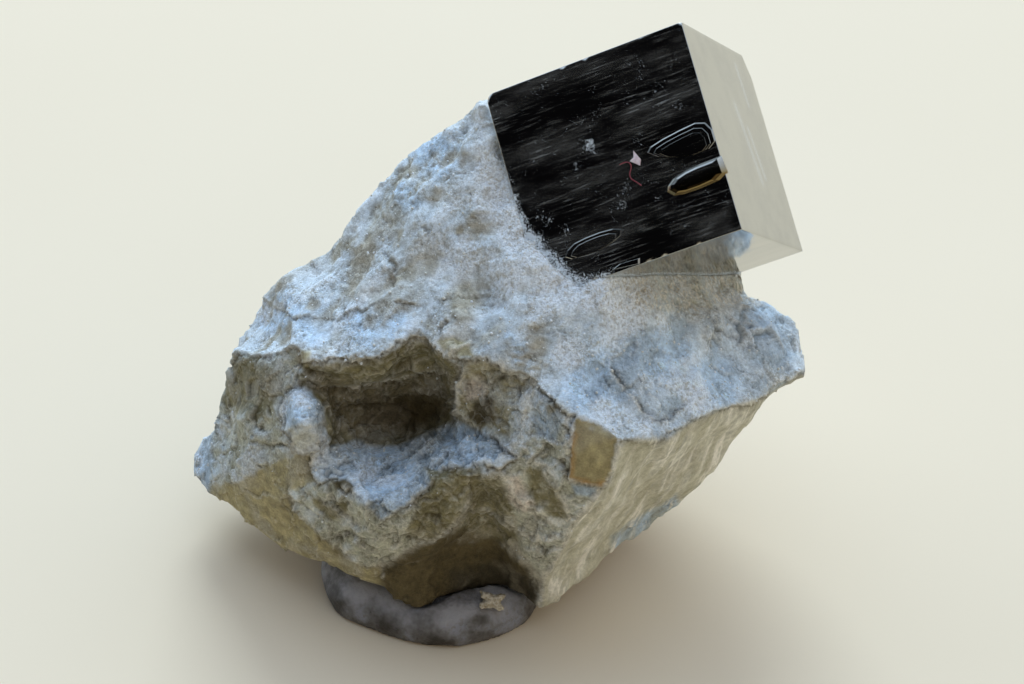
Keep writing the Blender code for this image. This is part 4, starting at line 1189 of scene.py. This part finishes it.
def build_grains(stone, powder_finish, grit_finish):
    mesh = stone.data
    points, normals = vertex_arrays(mesh)
    places = on_sheet(points)
    front = facing_eye(normals, 0.25)
    lit = smooth_step(-0.3, 0.5, normals[:, 2])
    line_away, _ = from_line(places, SNOW_LINE)
    snow = front * smooth_step(2.2, 0.1, line_away)
    _, traits, _ = paint_regions(points, places, front)
    weights = lit * traits[:, 0] * (8.0 * snow + 0.3 * front + 0.03)
    powder = lying_grains(mesh, weights, POWDER_GRAINS, (0.05 * MM, 0.17 * MM), 51)
    scattered("powder", powder, powder_finish)
    weights = (0.1 + lit) * (0.2 + front) * traits[:, 0] ** 2 * (1 - snow)
    grit = lying_grains(mesh, weights, GRIT_GRAINS, (0.05 * MM, 0.17 * MM), 52)
    scattered("grit", grit, grit_finish)


# The crystal

def cut_corner(bm):
    corner = Vector((1, 1, -1)) * CUBE_HALF
    a = corner - Vector((CORNER_CUT.x, 0, 0))
    b = corner - Vector((0, CORNER_CUT.y, 0))
    c = corner + Vector((0, 0, CORNER_CUT.z))
    normal = (b - a).cross(c - a).normalized()
    if normal.dot(corner - a) < 0:
        normal = -normal
    geometry = bm.verts[:] + bm.edges[:] + bm.faces[:]
    bmesh.ops.bisect_plane(bm, geom=geometry, plane_co=a, plane_no=normal, clear_outer=True)
    rim = [e for e in bm.edges if e.is_boundary]
    for edge in rim:
        edge.smooth = False
    bmesh.ops.edgeloop_fill(bm, edges=rim)


def on_front_face(local):
    """Places on the front face, in millimetres right and down from its upper left corner."""
    return np.c_[local[:, 0] + CUBE_HALF, CUBE_HALF - local[:, 1]] / MM


def round_corner(local):
    """Rounds the edge that runs back from the front face's upper left corner."""
    middle = np.array((-CUBE_HALF, CUBE_HALF)) + np.array((1, -1)) * CORNER_ROUND
    offset = local[:, :2] - middle
    length = np.linalg.norm(offset, axis=1)
    outside = (offset[:, 0] < 0) & (offset[:, 1] > 0) & (length > CORNER_ROUND)
    shorter = np.where(outside, CORNER_ROUND / np.maximum(length, CORNER_ROUND), 1.0)
    rounded = local.copy()
    rounded[:, :2] = middle + offset * shorter[:, None]
    return rounded


def growth_relief(face):
    """Low steps along the striation, which run out and start again along their length."""
    drawn = np.c_[face[:, 0] / 9, face[:, 1], np.zeros(len(face))]
    steps = noise_at(drawn, 0.8, 31) + 0.6 * noise_at(drawn, 0.37, 32)
    return GROWTH_STEP * steps


def dust_on_crystal(local, face, at_front):
    """Dust on the crystal: clumps on its front face, and a fringe where it leaves the stone."""
    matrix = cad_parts["matrix"].data
    tree = BVHTree.FromPolygons([v.co for v in matrix.vertices], [p.vertices[:] for p in matrix.polygons])
    reach = 4 * MM
    away = np.array([tree.find_nearest(Vector(p), reach)[3] or reach for p in moved_by(CUBE, local)]) / MM
    dust = smooth_step(1.7, 0.1, away) * 0.72
    for spot, size, amount in FACE_DUST:
        close = smooth_step(size, size * 0.2, away_from(face, spot))
        dust = np.maximum(dust, at_front * amount * 0.45 * close)
    return dust


def streaks_on_right(local):
    """The faint streaks of painted reflection on the crystal's right face, from 0 to 1."""
    places = local[:, [2, 1]] / MM
    at_right = local[:, 0] > CUBE_HALF - 0.3 * MM
    found = np.zeros(len(local))
    for start, end, width in RIGHT_STREAKS:
        away, _ = from_line(places, [start, end])
        found = np.maximum(found, smooth_step(width, 0.1 * width, away))
    return found * at_right


def finish_crystal_mesh(mesh, local, dust, streak_reflection, striated, rim_reflection):
    """Adds what the pyrite material reads, then moves the mesh to its place."""
    add_places(mesh, "crystal", local)
    add_mask(mesh, "rim_reflection", rim_reflection)
    add_mask(mesh, "dust", dust)
    add_mask(mesh, "streak_reflection", streak_reflection)
    add_mask(mesh, "striated", striated)
    points, _ = vertex_arrays(mesh)
    place_vertices(mesh, moved_by(CUBE, points))


def build_crystal(material):
    bm = bmesh.new()
    bmesh.ops.create_cube(bm, size=CUBE_EDGE)
    bmesh.ops.subdivide_edges(bm, edges=bm.edges[:], cuts=CUBE_CUTS, use_grid_fill=True)
    inner = CUBE_HALF - CUBE_EDGE / (CUBE_CUTS + 1)
    for vertex in bm.verts:
        for axis in range(3):
            if abs(abs(vertex.co[axis]) - inner) < 0.01 * MM:
                vertex.co[axis] = math.copysign(CUBE_HALF - EDGE_BAND, vertex.co[axis])
    cut_corner(bm)
    mesh = mesh_from(bm, "pyrite_crystal")
    local, normals = vertex_arrays(mesh)
    face = on_front_face(local)
    at_front = smooth_step(0.1 * MM, 0.0, CUBE_HALF - local[:, 2])
    second = np.sort(np.abs(local), axis=1)[:, 1]
    on_edge = smooth_step(0.5 * EDGE_BAND, 0.0, CUBE_HALF - second)
    chips = smooth_step(0.45, 0.8, noise_at(local, 1.1 * MM, 33)) * 0.6
    for spot, size in EDGE_CHIPS:
        chips = np.maximum(chips, at_front * smooth_step(size, 0, away_from(face, spot)))
    inland = smooth_step(0.0, 0.6 * MM, CUBE_HALF - second)
    push = growth_relief(face) * at_front * inland - EDGE_WEAR * on_edge * (0.6 + 1.6 * chips)
    moved = round_corner(local + normals * push[:, None])
    mesh.vertices.foreach_set("co", moved.ravel())
    dust = dust_on_crystal(local, face, at_front)
    streak_reflection = streaks_on_right(local)
    finish_crystal_mesh(mesh, local, dust, streak_reflection, 0.12 + 0.88 * at_front, np.zeros(len(local)))
    shade_smooth(mesh)
    crystal = piece("pyrite_crystal", mesh, material)
    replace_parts(crystal, "pyrite_cube")


def tier_object(outline, lean, tier):
    """One convex tier of a hillock."""
    foot, top, low, high = tier
    drawn = np.array(outline)
    middle = drawn.mean(axis=0)
    half_height = np.ptp(drawn[:, 1]) / 2
    bm = bmesh.new()
    for share, height in ((foot, low), (foot, max(low, 0.0)), (top, high)):
        centre = middle + (0, lean * (1 - share) * half_height)
        for x, y in centre + (drawn - middle) * share:
            bm.verts.new((x * MM - CUBE_HALF, CUBE_HALF - y * MM, CUBE_HALF + height * MM))
    hull = bmesh.ops.convex_hull(bm, input=bm.verts)
    bmesh.ops.delete(bm, geom=hull["geom_interior"], context="VERTS")
    return loose_object("tier", mesh_from(bm, "tier"))


def build_growth(name, lean, outline, tiers, material):
    """A stepped lozenge on the front face, one closed body."""
    base, *others = [tier_object(outline, lean, tier) for tier in tiers]
    for tier in others:
        union = base.modifiers.new("union", "BOOLEAN")
        union.operation = "UNION"
        union.object = tier
    bevel = base.modifiers.new("bevel", "BEVEL")
    bevel.width = 0.012 * MM
    bevel.segments = 2
    mesh = evaluated(base)
    for tier in others:
        bpy.data.objects.remove(tier)
    points, _ = vertex_arrays(mesh)
    nothing = np.zeros(len(points))
    middle = CUBE_HALF - np.mean(outline, axis=0)[1] * MM
    # The lower rim of each growth carries a painted reflection of the warm floor.
    lower_rim = smooth_step(0.1 * MM, -0.2 * MM, points[:, 1] - middle)
    rim_reflection = lower_rim * min(1.0, 3 * tiers[-1][3])
    finish_crystal_mesh(mesh, points, nothing, nothing, nothing + 0.25, rim_reflection)
    piece(name, mesh, material)


def on_crystal(x, y, height=0.0):
    """The point of the frame at a place on the front face, so many millimetres above it."""
    return CUBE @ (Vector((x, -y, height)) * MM + Vector((-CUBE_HALF, CUBE_HALF, CUBE_HALF)))


def build_flake(material):
    """The pinkish flake that lies on the front face, a little bent."""
    bm = bmesh.new()
    middle = np.mean(FLAKE, axis=0)
    bottom = [bm.verts.new(on_crystal(x, y, -0.02)) for x, y in FLAKE]
    top = [bm.verts.new(on_crystal(x, y, 0.07)) for x, y in FLAKE]
    peak = bm.verts.new(on_crystal(*middle, 0.13))
    bm.faces.new(bottom[::-1])
    for i in range(len(FLAKE)):
        after = (i + 1) % len(FLAKE)
        bm.faces.new((bottom[i], bottom[after], top[after], top[i]))
        bm.faces.new((top[i], top[after], peak))
    bmesh.ops.recalc_face_normals(bm, faces=bm.faces)
    bmesh.ops.subdivide_edges(bm, edges=bm.edges[:], cuts=2, use_grid_fill=True)
    piece("flake", mesh_from(bm, "flake"), material)


def build_fibre(material):
    """The red fibre that curls on the front face."""
    curve = bpy.data.curves.new("fibre", "CURVE")
    curve.dimensions = "3D"
    curve.bevel_depth = 0.035 * MM
    curve.bevel_resolution = 2
    curve.use_fill_caps = True
    curve.resolution_u = 6
    spline = curve.splines.new("NURBS")
    spline.points.add(len(FIBRE) - 1)
    for point, (x, y) in zip(spline.points, FIBRE):
        point.co = (*on_crystal(x, y, 0.045), 1.0)
    spline.use_endpoint_u = True
    spline.order_u = 4
    piece("fibre", evaluated(loose_object("fibre", curve)), material)


# The putty and the crumb

def build_putty(material):
    mesh = fine_copy("putty_base", PUTTY_VOXEL, 6)
    points, normals = vertex_arrays(mesh)
    resting = points[:, 2] < 0.12 * MM
    dents = noise_at(points, 3.2 * MM, 41)
    ridges = np.sin(points @ np.array((0.75, 0.45, 0.9)) / (0.075 * MM) + 4 * noise_at(points, 2.5 * MM, 42))
    prints = smooth_step(0.1, 0.4, noise_at(points, 5 * MM, 43))
    height = 0.22 * dents + 0.025 * ridges * prints + 0.09 * noise_at(points, 1.1 * MM, 44)
    moved = points + normals * (height * MM)[:, None]
    moved[:, 2] = np.where(resting, 0.0, np.maximum(moved[:, 2], 0.0))
    place_vertices(mesh, moved)
    shade_smooth(mesh)
    _, normals = vertex_arrays(mesh)
    # Sides that face up and to the left get the painted highlight.
    top_light = smooth_step(0.1, 0.9, normals[:, 2] - 0.5 * normals[:, 0] + 0.5 * dents)
    add_mask(mesh, "top_light", top_light)
    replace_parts(piece("putty_wad", mesh, material), "putty_base")


def build_crumb(material):
    mesh = fine_copy("crumb", CRUMB_VOXEL, 2)
    points, normals = vertex_arrays(mesh)
    height = 0.16 * noise_at(points, 0.5 * MM, 45) + 0.09 * noise_at(points, 0.22 * MM, 46)
    place_vertices(mesh, points + normals * (height * MM)[:, None])
    shade_smooth(mesh)
    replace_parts(piece("stone_crumb", mesh, material), "crumb")


# Light, table and camera

# The sky is bright behind and above, dim in front, and black where the crystal's front face looks.
SKY_AIM = (-0.3, 0.55, 0.78)
SKY_BRIGHT = (0.99, 1.23, 1.56)
SKY_DIM = (0.63, 0.53, 0.385)
ROOM_AIM = (-0.65, -0.48, 0.59)
ROOM_DARK = (0.004, 0.004, 0.005)
HORIZON = (0.66, 0.635, 0.56)
# The window: where it is, how wide, its power in watts and its colour.
WINDOW_PLACE = (0.0, 0.85, 0.74)
WINDOW_AIM = (0, 0, 0.02)
WINDOW_SIZE = 0.6
WINDOW_POWER = 7.9
WINDOW_COLOUR = (0.74, 0.89, 1.0)


class Sky(Nodes):
    """The same short way to write the world's node tree."""

    def __init__(self, name):
        self.world = bpy.data.worlds.new(name)
        self.world.use_nodes = True
        self.tree = self.world.node_tree
        self.direction = self.new("ShaderNodeTexCoord").outputs["Generated"]

    def toward(self, aim):
        """How far the direction agrees with an aim, from -1 to 1."""
        node = self.new("ShaderNodeVectorMath", operation="DOT_PRODUCT")
        self.put(node.inputs[0], self.direction)
        node.inputs[1].default_value = Vector(aim).normalized()
        return node.outputs["Value"]


def build_world():
    sky = Sky("daylight")
    height = sky.toward((0, 0, 1))
    colour = sky.mix(sky.ramp(sky.toward(SKY_AIM), -0.2, 0.75), SKY_DIM, SKY_BRIGHT)
    colour = sky.mix(sky.ramp(height, 0.06, 0.25), HORIZON, colour)
    colour = sky.mix(sky.ramp(sky.toward(ROOM_AIM), 0.70, 0.93), colour, ROOM_DARK)
    background = sky.tree.nodes["Background"]
    sky.put(background.inputs["Color"], colour)
    bpy.context.scene.world = sky.world


def add_light(name, place, aim, size, power, colour):
    data = bpy.data.lights.new(name, "AREA")
    data.shape = "DISK"
    data.size = size
    data.energy = power
    data.color = colour
    made = loose_object(name, data)
    made.location = place
    made.rotation_euler = (Vector(aim) - Vector(place)).to_track_quat("-Z", "Y").to_euler()


def build_table():
    bm = bmesh.new()
    bmesh.ops.create_grid(bm, x_segments=8, y_segments=8, size=3.0)
    mesh = mesh_from(bm, "table_top")
    mesh.materials.append(table_material())
    table = loose_object("table_top", mesh)
    table.location.z = -0.02 * MM


def build_camera():
    data = bpy.data.cameras.new("camera")
    data.lens = LENS_LENGTH
    data.sensor_width = SENSOR_WIDTH
    data.clip_start = 0.01
    data.clip_end = 20.0
    camera = loose_object("camera", data)
    camera.matrix_world = VIEW @ Matrix.Translation((0, 0, SIGHT_DISTANCE))
    bpy.context.scene.camera = camera


stone = build_stone(marl_material())
build_grains(
    stone,
    grained_material("white_powder", POWDER_TONES, 0.1 * MM, 0.95),
    grained_material("marl_grit", GRIT_TONES, 0.2 * MM, 0.95),
)
pyrite = pyrite_material()
build_crystal(pyrite)
for number, (lean, outline, tiers) in enumerate(HILLOCKS, 1):
    build_growth(f"growth_hillock_{number}", lean, outline, tiers, pyrite)
build_growth("growth_plate", 0.0, GROWTH_PLATE, PLATE_TIERS, pyrite)
build_flake(grained_material("flake", FLAKE_TONES, 0.2 * MM, 0.6))
build_fibre(grained_material("fibre", FIBRE_TONES, 0.1 * MM, 0.8))
build_putty(putty_material())
build_crumb(grained_material("crumb", CRUMB_TONES, 0.3 * MM, 0.95))
build_world()
add_light("window", WINDOW_PLACE, WINDOW_AIM, WINDOW_SIZE, WINDOW_POWER, WINDOW_COLOUR)
build_table()
build_camera()
bpy.context.scene.view_settings.view_transform = "Standard"
